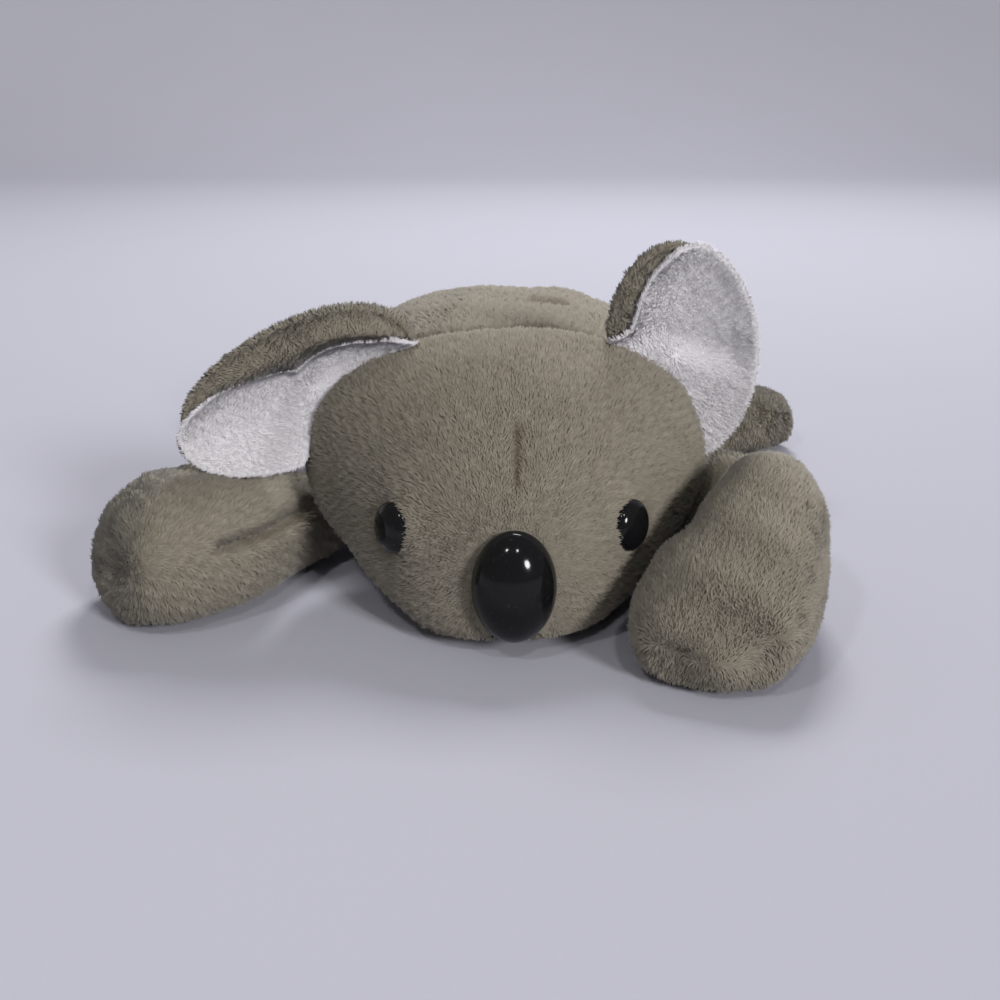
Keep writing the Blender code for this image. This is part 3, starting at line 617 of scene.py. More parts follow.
def grow_pile(name, cover, kind, place, comb, keep, length=1.0, tangle=TANGLE, tuft=TUFT, sizes=None,
              crease=None, squeeze=(1.0, 1.0, 1.0), shade=None):
    """Grey or white pile over a cover's final mesh, in pieces put on place's body, or placed by place when
    it is a function.

    A strand leaves along its outward direction, leant towards the comb's direction, plus a
    smooth ripple that gathers the tips in tufts, plus a little chance. The length is a
    share of the panel's.
    """
    plush = bpy.context.scene.koala_plush
    mesh = cover.data
    lean, spacing, width, seed = PILES[name]
    lean = math.radians(lean)
    length = length * (plush.lining_length if kind == "white" else plush.pile_length)
    spacing = spacing * plush.pile_spacing
    width = width * plush.pile_width
    area = sample(mesh, 1, keep, seed)[2]
    count = max(int(area / spacing**2 / (1)), LEAST_STRANDS)
    roots, normals, _ = sample(mesh, count, keep, seed)
    random = np.random.default_rng(seed + 1)
    ways = comb(roots)
    ways = unit(ways - (ways * normals).sum(axis=1)[:, None] * normals)
    drawn = roots * np.array(squeeze)
    sway = ripple(drawn, tuft, seed + 2) + ripple(drawn, tuft * 3, seed + 3) * 0.6
    stray = random.normal(size=(count, 3)) * STRAY
    aims = unit(normals * math.cos(lean) + ways * math.sin(lean) + sway * tangle + stray)
    outward = (aims * normals).sum(axis=1)[:, None]
    aims = unit(aims + normals * np.maximum(LEAST_OUTWARD - outward, 0))
    wave = ripple(drawn, tuft * 1.3, seed + 5)[:, 1]
    lengths = length * (1 + LENGTH_WAVE * wave + LENGTH_CHANCE * random.normal(size=count))
    near, _ = creased(roots, crease)
    lengths = lengths * (1 - CREASE_SHORTER * near)
    if sizes is not None:
        lengths = lengths * sizes(roots, normals)
    lengths = np.clip(lengths, length * LENGTH_LIMITS[0], length * LENGTH_LIMITS[1])
    sunk = roots - normals * plush.cloth_wall / 2
    tips = roots + aims * lengths[:, None]
    tips[:, 2] = np.maximum(tips[:, 2], TIP_CLEARANCE)
    # tones lowered by painted shade in creases, and by painted shade from the shade function
    tones = TONE_MIDDLE + TONE_CHANCE * random.normal(size=count) + TONE_WAVE * wave - CREASE_PAINTED_SHADE * near
    if shade is not None:
        tones = tones - shade(roots)
    tones = np.clip(tones, 0, 1)
    widths = width * random.uniform(*WIDTH_LIMITS, count)
    pieces = math.ceil(count / plush.strands_per_piece)
    for index, part in enumerate(np.array_split(np.arange(count), pieces)):
        title = f"{name}_{index + 1}" if pieces > 1 else name
        mesh = strand_mesh(title, sunk[part], normals[part], tips[part], widths[part], tones[part])
        piece = add_piece(title, mesh, finish_named(kind + "_pile"))
        settle(piece, place)


def maths(operation, swapped=False):
    """A method that makes a Math node of a value and what it is put together with."""

    def method(value, other):
        pair = (other, value) if swapped else (value, other)
        return value.finish.add("ShaderNodeMath", {"operation": operation}, dict(enumerate(pair)))

    return method


class Value:
    """A shader socket in a formula: its sums, differences, products and powers are nodes."""

    __add__ = __radd__ = maths("ADD")
    __rsub__ = maths("SUBTRACT", swapped=True)
    __mul__ = __rmul__ = maths("MULTIPLY")
    __pow__ = maths("POWER")

    def __init__(self, finish, socket):
        self.finish, self.socket = finish, socket


class Finish:
    """A procedural material: its shader, its constants, and one method for any node."""

    def __init__(self, name, **constants):
        self.material = bpy.data.materials.new(name)
        self.material.use_nodes = True
        self.tree = self.material.node_tree
        self.shader = self.tree.nodes["Principled BSDF"]
        for socket, value in constants.items():
            self.shader.inputs[socket.replace("_", " ").title().replace("Ior", "IOR")].default_value = value

    def link(self, value, socket):
        if isinstance(value, Value):
            self.tree.links.new(value.socket, socket)
        elif isinstance(value, (tuple, list)) and len(value) == 3 and socket.type == "RGBA":
            socket.default_value = (*value, 1.0)
        else:
            socket.default_value = value

    def add(self, kind, settings=None, inputs=None, out=0):
        """One node of a type, with its settings, then the values or links of its sockets."""
        node = self.tree.nodes.new(kind)
        for key, value in (settings or {}).items():
            setattr(node, key, value)
        for key, value in (inputs or {}).items():
            self.link(value, node.inputs[key])
        return Value(self, node.outputs[out])

    def place(self):
        return self.add("ShaderNodeTexCoord", out="Object")

    def noise(self, scale, detail=3.0):
        inputs = {"Vector": self.place(), "Scale": scale, "Detail": detail}
        return self.add("ShaderNodeTexNoise", None, inputs, "Fac")

    def mix(self, share, first, second, blend="MIX"):
        settings = {"data_type": "RGBA", "blend_type": blend}
        return self.add("ShaderNodeMix", settings, {0: share, 6: first, 7: second}, 2)

    def bump(self, height, strength, distance):
        inputs = {"Height": height, "Strength": strength, "Distance": distance}
        self.link(self.add("ShaderNodeBump", None, inputs), self.shader.inputs["Normal"])

    def paint(self, **values):
        for socket, value in values.items():
            self.link(value, self.shader.inputs[socket.replace("_", " ").title()])
        return self.material


def pile_finish(name, root, tip, warm):
    """Pile: dark at the root and light at the tip, with a tone of its own in each strand; low tones, from
    chance and from painted shade, darken it towards the warm colour.
    """
    finish = Finish(name, sheen_weight=0.25, sheen_roughness=0.5, specular_ior_level=0.2)
    place = finish.add("ShaderNodeAttribute", {"attribute_name": "strand"}, out="Vector")
    tone = finish.add("ShaderNodeSeparateXYZ", None, {0: place}, "X")
    along = finish.add("ShaderNodeSeparateXYZ", None, {0: place}, "Y")
    colour = finish.mix(along**0.7, root, tip)
    dark = finish.mix(1.0, colour, warm, "MULTIPLY")
    light = finish.mix(1.0, colour, (1.12, 1.12, 1.12), "MULTIPLY")
    # the dark copy stands for low tones, both random and painted shade
    colour = finish.mix(tone, dark, light)
    return finish.paint(base_color=colour, roughness=0.92 - 0.12 * along)


def cloth_finish(name, colour, dark):
    """The knitted ground of the plush: rows of small loops, with painted shade in the dark between them."""
    finish = Finish(name, sheen_weight=0.2, specular_ior_level=0.15)
    inputs = {"Vector": finish.place(), "Scale": 2200.0}
    loops = finish.add("ShaderNodeTexVoronoi", None, inputs, "Distance")
    patches = finish.noise(160.0)
    # painted shade: darker towards the low edges of the loops
    shade = finish.mix(loops * 0.8, colour, dark)
    shade = finish.mix(patches * 0.4, shade, dark)
    finish.bump(1 - loops, 0.5, 0.0002)
    return finish.paint(base_color=shade, roughness=0.85 + 0.1 * patches)


def gloss_finish(name):
    """Moulded black plastic: a hard gloss, with faint dust and hairline rubbing."""
    finish = Finish(name, specular_ior_level=0.2, coat_roughness=0.04)
    dust = finish.noise(900.0, 4.0)
    haze = finish.noise(120.0, 2.0)
    specks = finish.add("ShaderNodeMapRange", None, {"Value": dust, "From Min": 0.62, "From Max": 0.75})
    colour = finish.mix(specks * 0.25, (0.006, 0.006, 0.007), (0.05, 0.048, 0.045))
    finish.bump(haze, 0.04, 0.0002)
    roughness = 0.07 + 0.10 * haze + 0.15 * specks
    return finish.paint(base_color=colour, roughness=roughness, coat_weight=0.12 - 0.06 * haze)


def stuffing_finish(name):
    """White batting: crossing fibres over soft lumps."""
    finish = Finish(name, sheen_weight=0.3, specular_ior_level=0.1)
    lumps = finish.noise(90.0, 2.0)
    fibres = finish.noise(1400.0, 6.0)
    colour = finish.mix(fibres * 0.8, (0.62, 0.60, 0.56), (0.86, 0.85, 0.82))
    finish.bump(fibres * 0.5 + lumps, 0.6, 0.0008)
    return finish.paint(base_color=colour, roughness=0.9 + 0.08 * lumps)


def washer_finish(name):
    """Matte moulded plastic with a fine grain."""
    finish = Finish(name)
    grain = finish.noise(2500.0, 3.0)
    flow = finish.noise(150.0, 2.0)
    colour = finish.mix(flow, (0.52, 0.52, 0.50), (0.62, 0.62, 0.60))
    finish.bump(grain, 0.2, 0.0001)
    return finish.paint(base_color=colour, roughness=0.45 + 0.15 * grain)


FINISHES = {}


def finish_named(name):
    """The material of a name, made when it is first asked for."""
    plush = bpy.context.scene.koala_plush
    white = (plush.white_root_colour[:], plush.white_tip_colour[:])
    makers = {
        # a pile's last colour is the dark end of its tone, which carries painted shade as well as chance
        "grey_pile": (pile_finish, plush.root_colour[:], plush.tip_colour[:], (0.52, 0.46, 0.40)),
        "white_pile": (pile_finish, *white, (0.86, 0.83, 0.86)),
        # a cloth's second colour is the painted shade between its loops
        "grey_cloth": (cloth_finish, plush.root_colour[:], (0.20, 0.181, 0.145)),
        "white_cloth": (cloth_finish, plush.white_tip_colour[:], (0.72, 0.70, 0.72)),
        "black_gloss": (gloss_finish,),
        "batting": (stuffing_finish,),
        "matte_moulding": (washer_finish,),
    }
    if name not in FINISHES:
        maker, *colours = makers[name]
        FINISHES[name] = maker(name, *colours)
    return FINISHES[name]


def lumps(mesh, depth, wave, seed, name):
    """Soft unevenness of a stuffed cover: points moved along their outward directions by a
    smooth ripple, less near the table, and drawn in at the part's creases."""
    points, normals = read_points(mesh)
    share = np.clip(points[:, 2] / (6 * MM), 0, 1)
    push = ripple(points, wave, seed)[:, 0] * depth * share - creased(points, name)[1]
    points += normals * push[:, None]
    write_points(mesh, points)
    return mesh


def head_form(rings=110):
    """The head, whose lower half grows rounder from the muzzle back to the cheeks."""
    top, muzzle, cheeks = HEAD_FULLNESS
    size = (HEAD_LENGTH, HEAD_WIDTH, HEAD_HEIGHT)
    form = lying_form(HEAD_STATION_SHARES, size, HEAD_FRONT, HEAD_BASE, (top, muzzle), rings)
    along = (form.rows[:, 1] + HEAD_FRONT) / HEAD_LENGTH
    form.low = np.interp(along, HEAD_ROUNDING_SHARES, (muzzle, cheeks))
    return form


def torso_form(rings=120):
    size = (TORSO_LENGTH, TORSO_WIDTH, TORSO_HEIGHT)
    return lying_form(TORSO_STATION_SHARES, size, TORSO_FRONT, TORSO_BASE, TORSO_FULLNESS, rings)


def nearness(points, line, width):
    """A bell across a line of points: one on it, and less by e at its half width."""
    line = np.array(line)
    least = np.full(len(points), np.inf)
    for start, end in zip(line[:-1], line[1:]):
        way = end - start
        along = np.clip((points - start) @ way / (way @ way), 0, 1)[:, None]
        least = np.minimum(least, ((points - start - along * way) ** 2).sum(axis=1))
    return np.exp(-least / width**2)


def creased(points, name):
    """Nearness to the creases of a part, and how deep they are there."""
    near, deep = np.zeros(len(points)), np.zeros(len(points))
    for line, width, depth in CREASES.get(name, ()):
        bell = nearness(points, line, width)
        near, deep = np.maximum(near, bell), np.maximum(deep, bell * depth)
    return near, deep


def in_head(points):
    """How far out points lie in the turned head."""
    return head_form().out(turned(points, -HEAD_TURN))


def filling(name, grid, place):
    """Batting in a part: its own form, drawn in under the cloth and lumpy."""
    mesh = grid_mesh(name + "_batting", grid)
    lumps(drawn_in(mesh, FILLING_DEPTH), 0.9 * MM, 12 * MM, 5, None)
    piece = add_piece(name + "_batting", mesh, finish_named("batting"))
    settle(piece, place)
    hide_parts(name + "_fill")


def cover_mesh(name, grid):
    """A cover's form, drawn in under the tips of its pile, with its lumps and creases."""
    mesh = grid_mesh(name + "_cover", grid)
    return lumps(drawn_in(mesh, bpy.context.scene.koala_plush.pile_depth), *LUMPS[name], name)


def stand_for(node):
    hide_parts(node)


class KOALA_OT_torso(bpy.types.Operator):
    """The body's cover and its pile."""

    bl_idname = "koala.torso"
    bl_label = "Torso"

    def execute(self, context):
        mesh = cover_mesh("torso", torso_form(130).grid(160))
        cover = add_piece("torso_cover", mesh, finish_named("grey_cloth"), "torso")
        stand_for("torso_skin")
        filling("torso", torso_form(60).grid(72), "torso")

        def comb(points):
            return np.array((0.0, 1.0, -0.35)) + ripple(points, 30 * MM, 12) * 0.25

        def keep(points, normals):
            return lying_share(normals) * clear_of_neck(points)

        # painted shade on the torso's pile where the head lies close over it
        def shade(points):
            return 0.9 * np.clip((1.25 - in_head(points)) / 0.25, 0, 1)

        grow_pile("torso_pile", cover, "grey", "torso", comb, keep, crease="torso", shade=shade)
        return {"FINISHED"}


class KOALA_OT_neck(bpy.types.Operator):
    """The cuff of plush that joins the head to the body."""

    bl_idname = "koala.neck"
    bl_label = "Neck"

    def execute(self, context):
        depth, wide, high, drop, pile_half = 15 * MM, 33 * MM, 25 * MM, 2 * MM, 7 * MM
        angles = np.linspace(0.0, TURN / 2, 40)
        swell = np.sin(angles) ** 0.8
        none = angles * 0
        along = NECK_PLACE[1] - depth * np.cos(angles)
        level = none + NECK_PLACE[2] - drop
        rows = np.column_stack((none, along, level, wide * swell, high * swell, high * swell))
        mesh = grid_mesh("neck_cuff", Form(rows, (2.2, 2.6)).grid(96))
        cover = add_piece("neck_cuff", mesh, finish_named("grey_cloth"), "neck")
        stand_for("neck_wad")

        def comb(points):
            return np.array((0.0, 0.4, 0.0)) + (points - NECK_PLACE) * 20

        def keep(points, normals):
            return (np.abs(points[:, 1] - NECK_PLACE[1]) < pile_half) * 1.0

        grow_pile("neck_pile", cover, "grey", "neck", comb, keep)
        return {"FINISHED"}


class KOALA_OT_head(bpy.types.Operator):
    """The head's cover and its pile, combed back from the nose."""

    bl_idname = "koala.head"
    bl_label = "Head"

    def execute(self, context):
        nose = button_place("nose", NOSE_SIZE)[0]
        eyes = []
        for name in ("eye_left", "eye_right"):
            middle = button_place(name, EYE_SIZE)[0]
            wide, ahead = (nose - middle)[:2]
            eyes.append((middle, unit(np.array((wide, ahead, abs(wide) * 0.5)))))

        def round_eyes(points):
            """Nearness to each eye's edge, and how far points lie on its inner, upper side."""
            for middle, inner in eyes:
                gap = points - middle
                away = np.linalg.norm(gap, axis=1) / (EYE_SIZE[0] / 2)
                yield gap, away, np.exp(-(((away - 1.1) / 0.4) ** 2)), unit(gap) @ inner

        mesh = cover_mesh("head", turned(head_form(140).grid(190)))
        points, normals = read_points(mesh)
        for gap, _, near, side in round_eyes(points):
            lid = (near * np.clip(side * 1.3, 0, 1))[:, None]
            points += (normals * LID_RISE - unit(gap) * LID_REACH) * lid
        write_points(mesh, points)
        cover = add_piece("head_cover", mesh, finish_named("grey_cloth"), "head")
        stand_for("head_skin")
        filling("head", turned(head_form(60).grid(72)), "head")

        def comb(points):
            ways = unit(points - nose) + np.array((0.0, 0.2, -0.1))
            for gap, _, near, side in round_eyes(points):
                share = (near * np.clip(side * 1.5, 0, 1))[:, None] * 0.6
                ways = ways * (1 - share) - unit(gap) * share
            (line, width, _), = CREASES["head"]
            pull = nearness(points, line, width * 3)
            ways[:, 0] -= np.sign(points[:, 0] - line[1][0]) * pull * 0.8
            return ways + ripple(points, 14 * MM, 22) * 0.12

        def keep(points, normals):
            wide = (points[:, 0] - nose[0]) / (NOSE_SIZE[0] / 2 - 1 * MM)
            high = (points[:, 2] - nose[2]) / (NOSE_SIZE[1] / 2 - 1 * MM)
            free = (wide**2 + high**2 > 1) | (points[:, 1] > -95 * MM)
            for _, away, _, _ in round_eyes(points):
                free &= away > 0.95
            return free * clear_of_neck(points) * 1.0

        def sizes(points, normals):
            near = np.linalg.norm((points - nose)[:, (0, 2)], axis=1) / (NOSE_SIZE[1] / 2)
            share = np.clip(near - 0.6, 0.0, 1.0) * 0.5 + 0.5
            for _, _, near, side in round_eyes(points):
                share = share * (1 - near * (0.15 * np.clip(side, 0, 1) + 0.35 * np.clip(-side, 0, 1)))
            return share

        # painted shade on the head's pile near the torso and on the outer side of each eye
        def shade(points):
            dark = 0.8 * np.clip((1.2 - torso_form().out(points)) / 0.2, 0, 1)
            for _, _, near, side in round_eyes(points):
                dark = dark + 0.5 * near * np.clip(-side, 0, 1)
            return dark

        looks = {"sizes": sizes, "crease": "head", "shade": shade, "squeeze": (0.5, 1.0, 1.0)}
        grow_pile("head_pile", cover, "grey", "head", comb, keep, **looks)
        return {"FINISHED"}


def limb(name, radius, shares, sizes, signs):
    """A limb's cover, pile and batting, with their places baked into their meshes."""
    root = np.array(JOINTS[name + "_swing"]["pos_m"])
    form = limb_form(root, radius, shares, *sizes, signs, 105)
    mesh = cover_mesh(name, form.grid(120))
    cover = add_piece(name + "_cover", mesh, finish_named("grey_cloth"))
    spine = form.rows[:, :3]
    leads = unit(np.gradient(spine, axis=0))

    def place(piece):
        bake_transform(piece)

    def comb(points):
        nearest = ((points[:, None, :2] - spine[None, ::3, :2]) ** 2).sum(axis=2).argmin(axis=1) * 3
        high = (points[:, 2] - spine[nearest, 2]) / np.maximum(form.rows[nearest, 4], MM)
        ways = ripple(points, 16 * MM, LUMPS[name][2] + 7) * 0.15 - leads[nearest]
        ways[:, 2] += np.interp(high, (-0.1, 0.5), (-1.5, 0.6))
        return ways

    def keep(points, normals):
        hidden = torso_form().out(points) < 0.8
        return ~hidden * lying_share(normals)

    grow_pile(name + "_pile", cover, "grey", place, comb, keep, crease=name)
    place(cover)
    stand_for(name + "_skin")
    filling(name, form.grid(64)[::3], place)


class KOALA_OT_arms(bpy.types.Operator):
    """Both front limbs."""

    bl_idname = "koala.arms"
    bl_label = "Arms"

    def execute(self, context):
        left = (HEAD_WIDTH, ARM_REACH, ARM_LEFT_WIDTH, ARM_LEFT_HEIGHT)
        right = (HEAD_WIDTH, ARM_REACH, ARM_RIGHT_WIDTH, ARM_RIGHT_HEIGHT)
        limb("arm_left", SHOULDER_RADIUS, ARM_LEFT_STATION_SHARES, left, (1, -1))
        limb("arm_right", SHOULDER_RADIUS, ARM_RIGHT_STATION_SHARES, right, (-1, -1))
        return {"FINISHED"}


class KOALA_OT_legs(bpy.types.Operator):
    """Both hind limbs."""

    bl_idname = "koala.legs"
    bl_label = "Legs"

    def execute(self, context):
        sizes = (LEG_REACH, LEG_REACH, LEG_WIDTH, LEG_HEIGHT)
        for name, sign in (("leg_left", 1), ("leg_right", -1)):
            limb(name, HIP_RADIUS, LEG_STATION_SHARES, sizes, (sign, 1))
        return {"FINISHED"}


class Ear:
    """One ear: an oval dish in the plane of the ears, cut off along the head.

    A point at a share of a sector's radius lies behind the plane by the dish times one less
    the share squared, less the cup times how far the sector points away from the head.
    """

    def __init__(self, name):
        side, inset, rise, length, breadth, tilt, cup = EARS[name]
        self.folds = EAR_FOLDS[name]
        tilt = math.radians(tilt)
        middle_height = HEAD_BASE + HEAD_HEIGHT / 2
        self.middle = np.array((side * (HEAD_WIDTH / 2 - inset), EAR_PLANE, middle_height + rise))
        angles = np.arange(EAR_SECTORS) * TURN / EAR_SECTORS
        x = np.cos(angles) * length / 2 * math.cos(tilt) - np.sin(angles) * breadth / 2 * math.sin(tilt)
        z = np.cos(angles) * length / 2 * math.sin(tilt) + np.sin(angles) * breadth / 2 * math.cos(tilt)
        spokes = np.column_stack((side * x, x * 0, z))
        head = head_form()
        near, far = np.zeros(EAR_SECTORS), np.ones(EAR_SECTORS)
        self.meets_head = head.out(self.middle + spokes) < 0.95
        for _ in range(EAR_STEPS):
            half = (near + far) / 2
            free = head.out(self.middle + spokes * half[:, None]) > 0.95
            near, far = np.where(free, half, near), np.where(free, far, half)
        self.cut = np.where(self.meets_head, near, 1.0)
        self.spokes = spokes * self.cut[:, None]
        self.radii = np.linalg.norm(self.spokes, axis=1)
        self.root = unit(self.spokes[self.meets_head].mean(axis=0))
        towards = self.spokes @ self.root / self.radii
        self.lean = (1 - towards) / 2
        self.tucked = np.clip((towards - 0.75) / 0.2, 0, 1)
        self.cup = cup
        self.turns = np.arctan2(self.spokes[:, 2], self.spokes[:, 0])
        at, breadths = np.array(EAR_RIMS[name]).T
        self.rim = np.interp(self.turns % TURN, np.radians(at), breadths)
        self.bare = np.clip(1 - self.rim / (2.5 * MM), 0, 1)

    def at(self, points):
        """Points' shares of the radius in their sectors, and the rim and its share there."""
        flat = turned(points, -HEAD_TURN) - self.middle
        turns = np.arctan2(flat[:, 2], flat[:, 0])
        order = np.argsort(self.turns)
        radius = np.interp(turns, self.turns[order], self.radii[order], period=TURN)
        rim = np.interp(turns, self.turns[order], self.rim[order], period=TURN)
        return np.linalg.norm(flat[:, (0, 2)], axis=1) / radius, rim, rim / radius

    def sheet(self, share):
        """How far the ear's own sheet lies behind the plane at shares of the radius."""
        share = share * self.cut
        return EAR_DISH * (1 - share**2) - self.cup * self.lean * share**2

    def rings(self, profile):
        """Rings from a profile of (share of the radius, level behind the ear's own sheet)."""
        rings = []
        for share, level in profile:
            share = np.broadcast_to(share, EAR_SECTORS)
            points = self.middle + self.spokes * share[:, None]
            fold = sum(nearness(points[:, (0, 2)], line, width) * push for line, width, push in self.folds)
            points[:, 1] += self.sheet(share) + level - fold
            rings.append(points)
        return turned(np.array(rings))

    def shell(self):
        """The grey rear piece: over the back, round the edge, then forward and in over the
        rim as a roll. Where the rim ends, its edge draws back behind the white piece."""
        rear, seat, round_edge = 1.1 * MM, 0.2 * MM, 1.4 * MM
        lip = -2.0 * MM + 1.8 * MM * self.bare
        outer = 1 - (0.8 * MM + self.bare * 0.6 * MM) / self.radii
        edge = outer - round_edge / self.radii
        inner = np.minimum(1 - self.rim / self.radii, edge - 0.5 * MM / self.radii)
        profile = [(edge * share, rear) for share in np.linspace(0.06, 1.0, 16)]
        for angle in np.linspace(0.0, TURN / 2, 9)[1:-1]:
            middle, half = (rear + lip) / 2, (rear - lip) / 2
            profile.append((edge + (outer - edge) * math.sin(angle), middle + half * math.cos(angle)))
        for along in np.linspace(0.0, 1.0, 14):
            share = edge + (inner - edge) * along
            base = self.sheet(edge) * (1 - along**2) + self.sheet(inner) * along**2 - self.sheet(share)
            roll = RIM_ROLL_SHARE * self.rim * math.sin(along**2.2 * TURN / 2)
            profile.append((share, base + lip * (1 - along) + seat * along - roll))
        profile += [(inner * share, seat) for share in np.linspace(0.9, 0.06, 8)]
        return self.rings(profile)

    def lining(self):
        """The white front piece, which lies in the rear piece's dish, reaches its edge where
        there is no rim, and runs in under the head's pile."""
        face, rest = -1.1 * MM, -0.1 * MM
        reach = 1.8 * MM * self.tucked * self.bare
        inner = 1 - (self.rim - reach) / self.radii
        profile = [((inner - 0.5 * MM / self.radii) * share, rest) for share in np.linspace(0.06, 1.0, 12)]
        profile += [(inner + 0 * inner, (face + rest) / 2)]
        for share in np.linspace(1.0, 0.06, 24):
            rise = 3.0 * MM * (1 - self.bare) * share**6
            profile.append(((inner - 0.5 * MM / self.radii) * share, face - rise))
        return self.rings(profile)


class KOALA_OT_ears(bpy.types.Operator):
    """Both ears: the grey rear pieces with their rims, and the white front pieces."""

    bl_idname = "koala.ears"
    bl_label = "Ears"

    def execute(self, context):
        for name in EARS:
            ear = Ear(name)
            middle = turned(ear.middle)
            root = turned(ear.root, place=np.zeros(3))
            shell = grid_mesh(name + "_shell", ear.shell())
            shell = add_piece(name + "_shell", shell, finish_named("grey_cloth"), name)
            stand_for(name + "_back")
            lining = grid_mesh(name + "_lining", ear.lining())
            lining = add_piece(name + "_lining", lining, finish_named("white_cloth"), name)
            stand_for(name + "_front")

            def comb(points, middle=middle, root=root):
                return unit(points - middle) - root * 0.5 + ripple(points, 9 * MM, 71) * 0.2

            def front(points, normals):
                return (normals[:, 1] < 0.2) * (in_head(points) > 0.9) * 1.0

            def back(points, normals, ear=ear):
                share, _, rim = ear.at(points)
                seat = (normals[:, 1] < 0.3) & (share < 1 - np.maximum(rim, 0.12) - 0.01)
                return ~seat * (in_head(points) > 0.9) * 1.0

            def rim_sizes(points, normals, ear=ear):
                share, rim, _ = ear.at(points)
                broad = np.clip(rim / (5 * MM), 0, 1)
                edge = np.clip((share - 0.75) / 0.2, 0, 1)
                return 1 + 0.3 * broad - 0.65 * edge * (1 - broad)

            grow_pile(name + "_shell_pile", shell, "grey", name, comb, back, 0.85, sizes=rim_sizes)
            grow_pile(name + "_lining_pile", lining, "white", name, comb, front, 1.0, 0.11, 1.8 * MM)
        return {"FINISHED"}


def button_place(node, size):
    """A button's middle, at the foot of its dome, and its own axis, across and up."""
    points, _ = read_points(frame["nodes"][node].data)
    washer, _ = read_points(frame["nodes"][node + "_washer"].data)
    on_axis = (washer.max(axis=0) + washer.min(axis=0)) / 2
    axis = unit(points.mean(axis=0) - on_axis)
    middle = on_axis + axis * ((points @ axis).max() - size[2] - on_axis @ axis)
    across = unit(np.cross(axis, UP))
    return middle, axis, across, np.cross(across, axis) * -1


def button_mesh(name, node, size, stem):
    """A domed button and its stem, turned as an oval round its own axis.

    The dome's depth is the ordinate of an ellipse over its share of the radius, its rim is
    rounded under, and the stem is straight.
    """
    middle, axis, across, up = button_place(node, size)
    angles = np.arange(BUTTON_SIDES) * TURN / BUTTON_SIDES
    profile = [(math.sin(angle), size[2] * math.cos(angle)) for angle in np.linspace(0.03, TURN / 4, 30)]
    profile += [(1 - 0.06 * share**2, -1.2 * MM * share) for share in np.linspace(0.2, 1.0, 5)]
    rows = [(share * size[0] / 2, share * size[1] / 2, deep) for share, deep in profile]
    thin, long = stem
    rows += [(thin, thin, -1.2 * MM), (thin, thin, -long + 0.5 * MM), (thin * 0.7, thin * 0.7, -long)]
    over, rise = np.cos(angles)[:, None] * across, np.sin(angles)[:, None] * up
    rings = [middle + over * wide + rise * high + deep * axis for wide, high, deep in rows]
    return grid_mesh(name, np.array(rings))


class KOALA_OT_face(bpy.types.Operator):
    """The glossy nose and eyes."""

    bl_idname = "koala.face"
    bl_label = "Nose and eyes"

    def execute(self, context):
        for node, size, stem in (
            ("nose", NOSE_SIZE, NOSE_STEM),
            ("eye_left", EYE_SIZE, EYE_STEM),
            ("eye_right", EYE_SIZE, EYE_STEM),
        ):
            mesh = button_mesh(node + "_button", node, size, stem)
            piece = add_piece(node + "_button", mesh, finish_named("black_gloss"), "head")
            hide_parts(node)
        return {"FINISHED"}


class KOALA_OT_inside(bpy.types.Operator):
    """The lock washers, which keep their CAD shapes."""

    bl_idname = "koala.inside"
    bl_label = "Washers"

    def execute(self, context):
        for name, node in frame["nodes"].items():
            if name.endswith("_washer"):
                node.data.materials.clear()
                node.data.materials.append(finish_named("matte_moulding"))
        return {"FINISHED"}


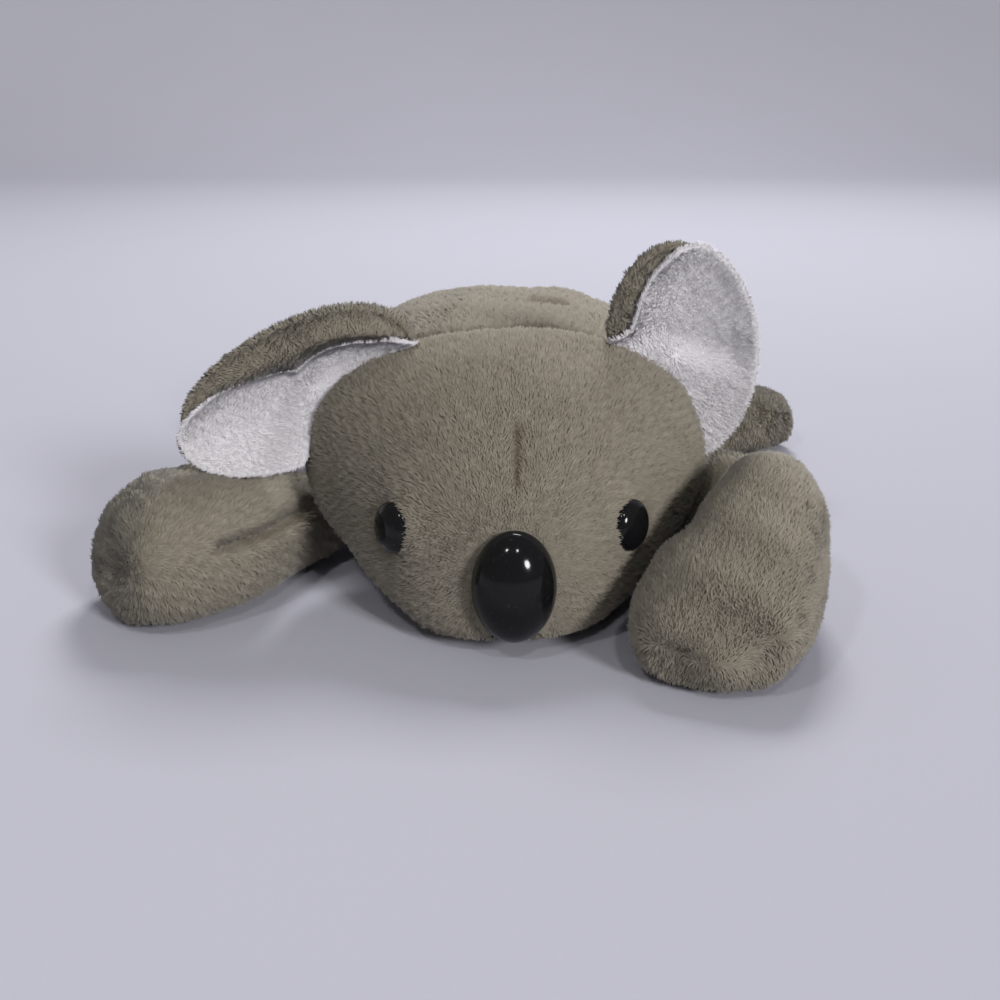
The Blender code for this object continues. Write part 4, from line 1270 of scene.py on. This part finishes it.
class KOALA_OT_stage(bpy.types.Operator):
    """The camera, the lamps, the even light and the pale floor."""

    bl_idname = "koala.stage"
    bl_label = "Stage"

    def lamp(self, name, place, size, power, kind="AREA"):
        """A lamp aimed at the koala: a square of a size, or a far light as wide as an angle."""
        data = bpy.data.lights.new(name, kind)
        setattr(data, "size" if kind == "AREA" else "angle", size)
        data.energy = power
        made = bpy.data.objects.new(name, data)
        made.location = place
        made.rotation_euler = (Vector(LAMP_AIM) - Vector(place)).to_track_quat("-Z", "Y").to_euler()
        made.visible_camera = False
        bpy.context.scene.collection.objects.link(made)

    def execute(self, context):
        scene = context.scene
        stage = scene.koala_stage
        camera = bpy.data.objects.new("camera", bpy.data.cameras.new("camera"))
        scene.collection.objects.link(camera)
        camera.location = stage.camera_place
        camera.rotation_euler = (stage.camera_pitch, 0.0, 0.0)
        camera.data.lens = stage.camera_lens
        camera.data.clip_start = 0.01
        scene.camera = camera
        self.lamp("key_lamp", KEY_PLACE, KEY_SIZE, stage.key_power)
        self.lamp("front_light", FRONT_PLACE, FRONT_ANGLE, stage.front_power, "SUN")
        for side, place in zip(("left", "right"), FILL_PLACES):
            self.lamp("fill_lamp_" + side, place, FILL_SIZE, stage.fill_power)
        sky = bpy.data.worlds.new("even_light")
        sky.use_nodes = True
        back = sky.node_tree.nodes["Background"]
        back.inputs["Color"].default_value = (1.0, 0.99, 0.97, 1.0)
        back.inputs["Strength"].default_value = stage.sky_strength
        scene.world = sky

        finish = Finish("floor_cloth", specular_ior_level=0.1)
        weave = finish.noise(900.0, 2.0)
        wide = finish.noise(6.0, 2.0)
        shade = tuple(value * 0.94 for value in stage.floor_colour)
        colour = finish.mix(wide * 0.5, stage.floor_colour[:], shade)
        finish.bump(weave, 0.15, 0.0002)
        finish.paint(base_color=colour, roughness=0.9)
        angles = np.linspace(0.0, TURN / 4, 24)
        bend = BEND_START + BEND_RADIUS * np.sin(angles)
        run = np.concatenate(((-FLOOR_REACH,), bend, (BEND_START + BEND_RADIUS,)))
        rise = BEND_RADIUS - BEND_RADIUS * np.cos(angles)
        rise = np.concatenate(((0.0,), rise, (FLOOR_REACH,))) + FLOOR_DROP
        lines = [np.column_stack((run * 0 + side, run, rise)) for side in (-FLOOR_REACH, FLOOR_REACH)]
        count = len(run)
        faces = [(row, row + count, row + count + 1, row + 1) for row in range(count - 1)]
        mesh = new_mesh("floor", np.concatenate(lines), np.array(faces))
        mesh.shade_smooth()
        floor = add_piece("floor", mesh, finish.material)
        scene.view_settings.view_transform = "Standard"
        return {"FINISHED"}


class KOALA_PT_panel(bpy.types.Panel):
    """The steps that dress the koala."""

    bl_label = "Plush koala"
    bl_idname = "KOALA_PT_panel"
    bl_space_type = "VIEW_3D"
    bl_region_type = "UI"
    bl_category = "Plush koala"

    def draw(self, context):
        for operator in OPERATORS:
            self.layout.operator(operator.bl_idname)


OPERATORS = (
    KOALA_OT_stage,
    KOALA_OT_torso,
    KOALA_OT_neck,
    KOALA_OT_head,
    KOALA_OT_arms,
    KOALA_OT_legs,
    KOALA_OT_ears,
    KOALA_OT_face,
    KOALA_OT_inside,
)
CLASSES = (KoalaPlush, KoalaStage, *OPERATORS, KOALA_PT_panel)


def register():
    for item in CLASSES:
        bpy.utils.register_class(item)
    bpy.types.Scene.koala_plush = PointerProperty(type=KoalaPlush)
    bpy.types.Scene.koala_stage = PointerProperty(type=KoalaStage)


def unregister():
    del bpy.types.Scene.koala_stage
    del bpy.types.Scene.koala_plush
    for item in reversed(CLASSES):
        bpy.utils.unregister_class(item)


def main():
    register()
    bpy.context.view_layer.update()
    for operator in OPERATORS:
        group, step = operator.bl_idname.split(".")
        getattr(getattr(bpy.ops, group), step)()


if __name__ == "__main__":
    main()
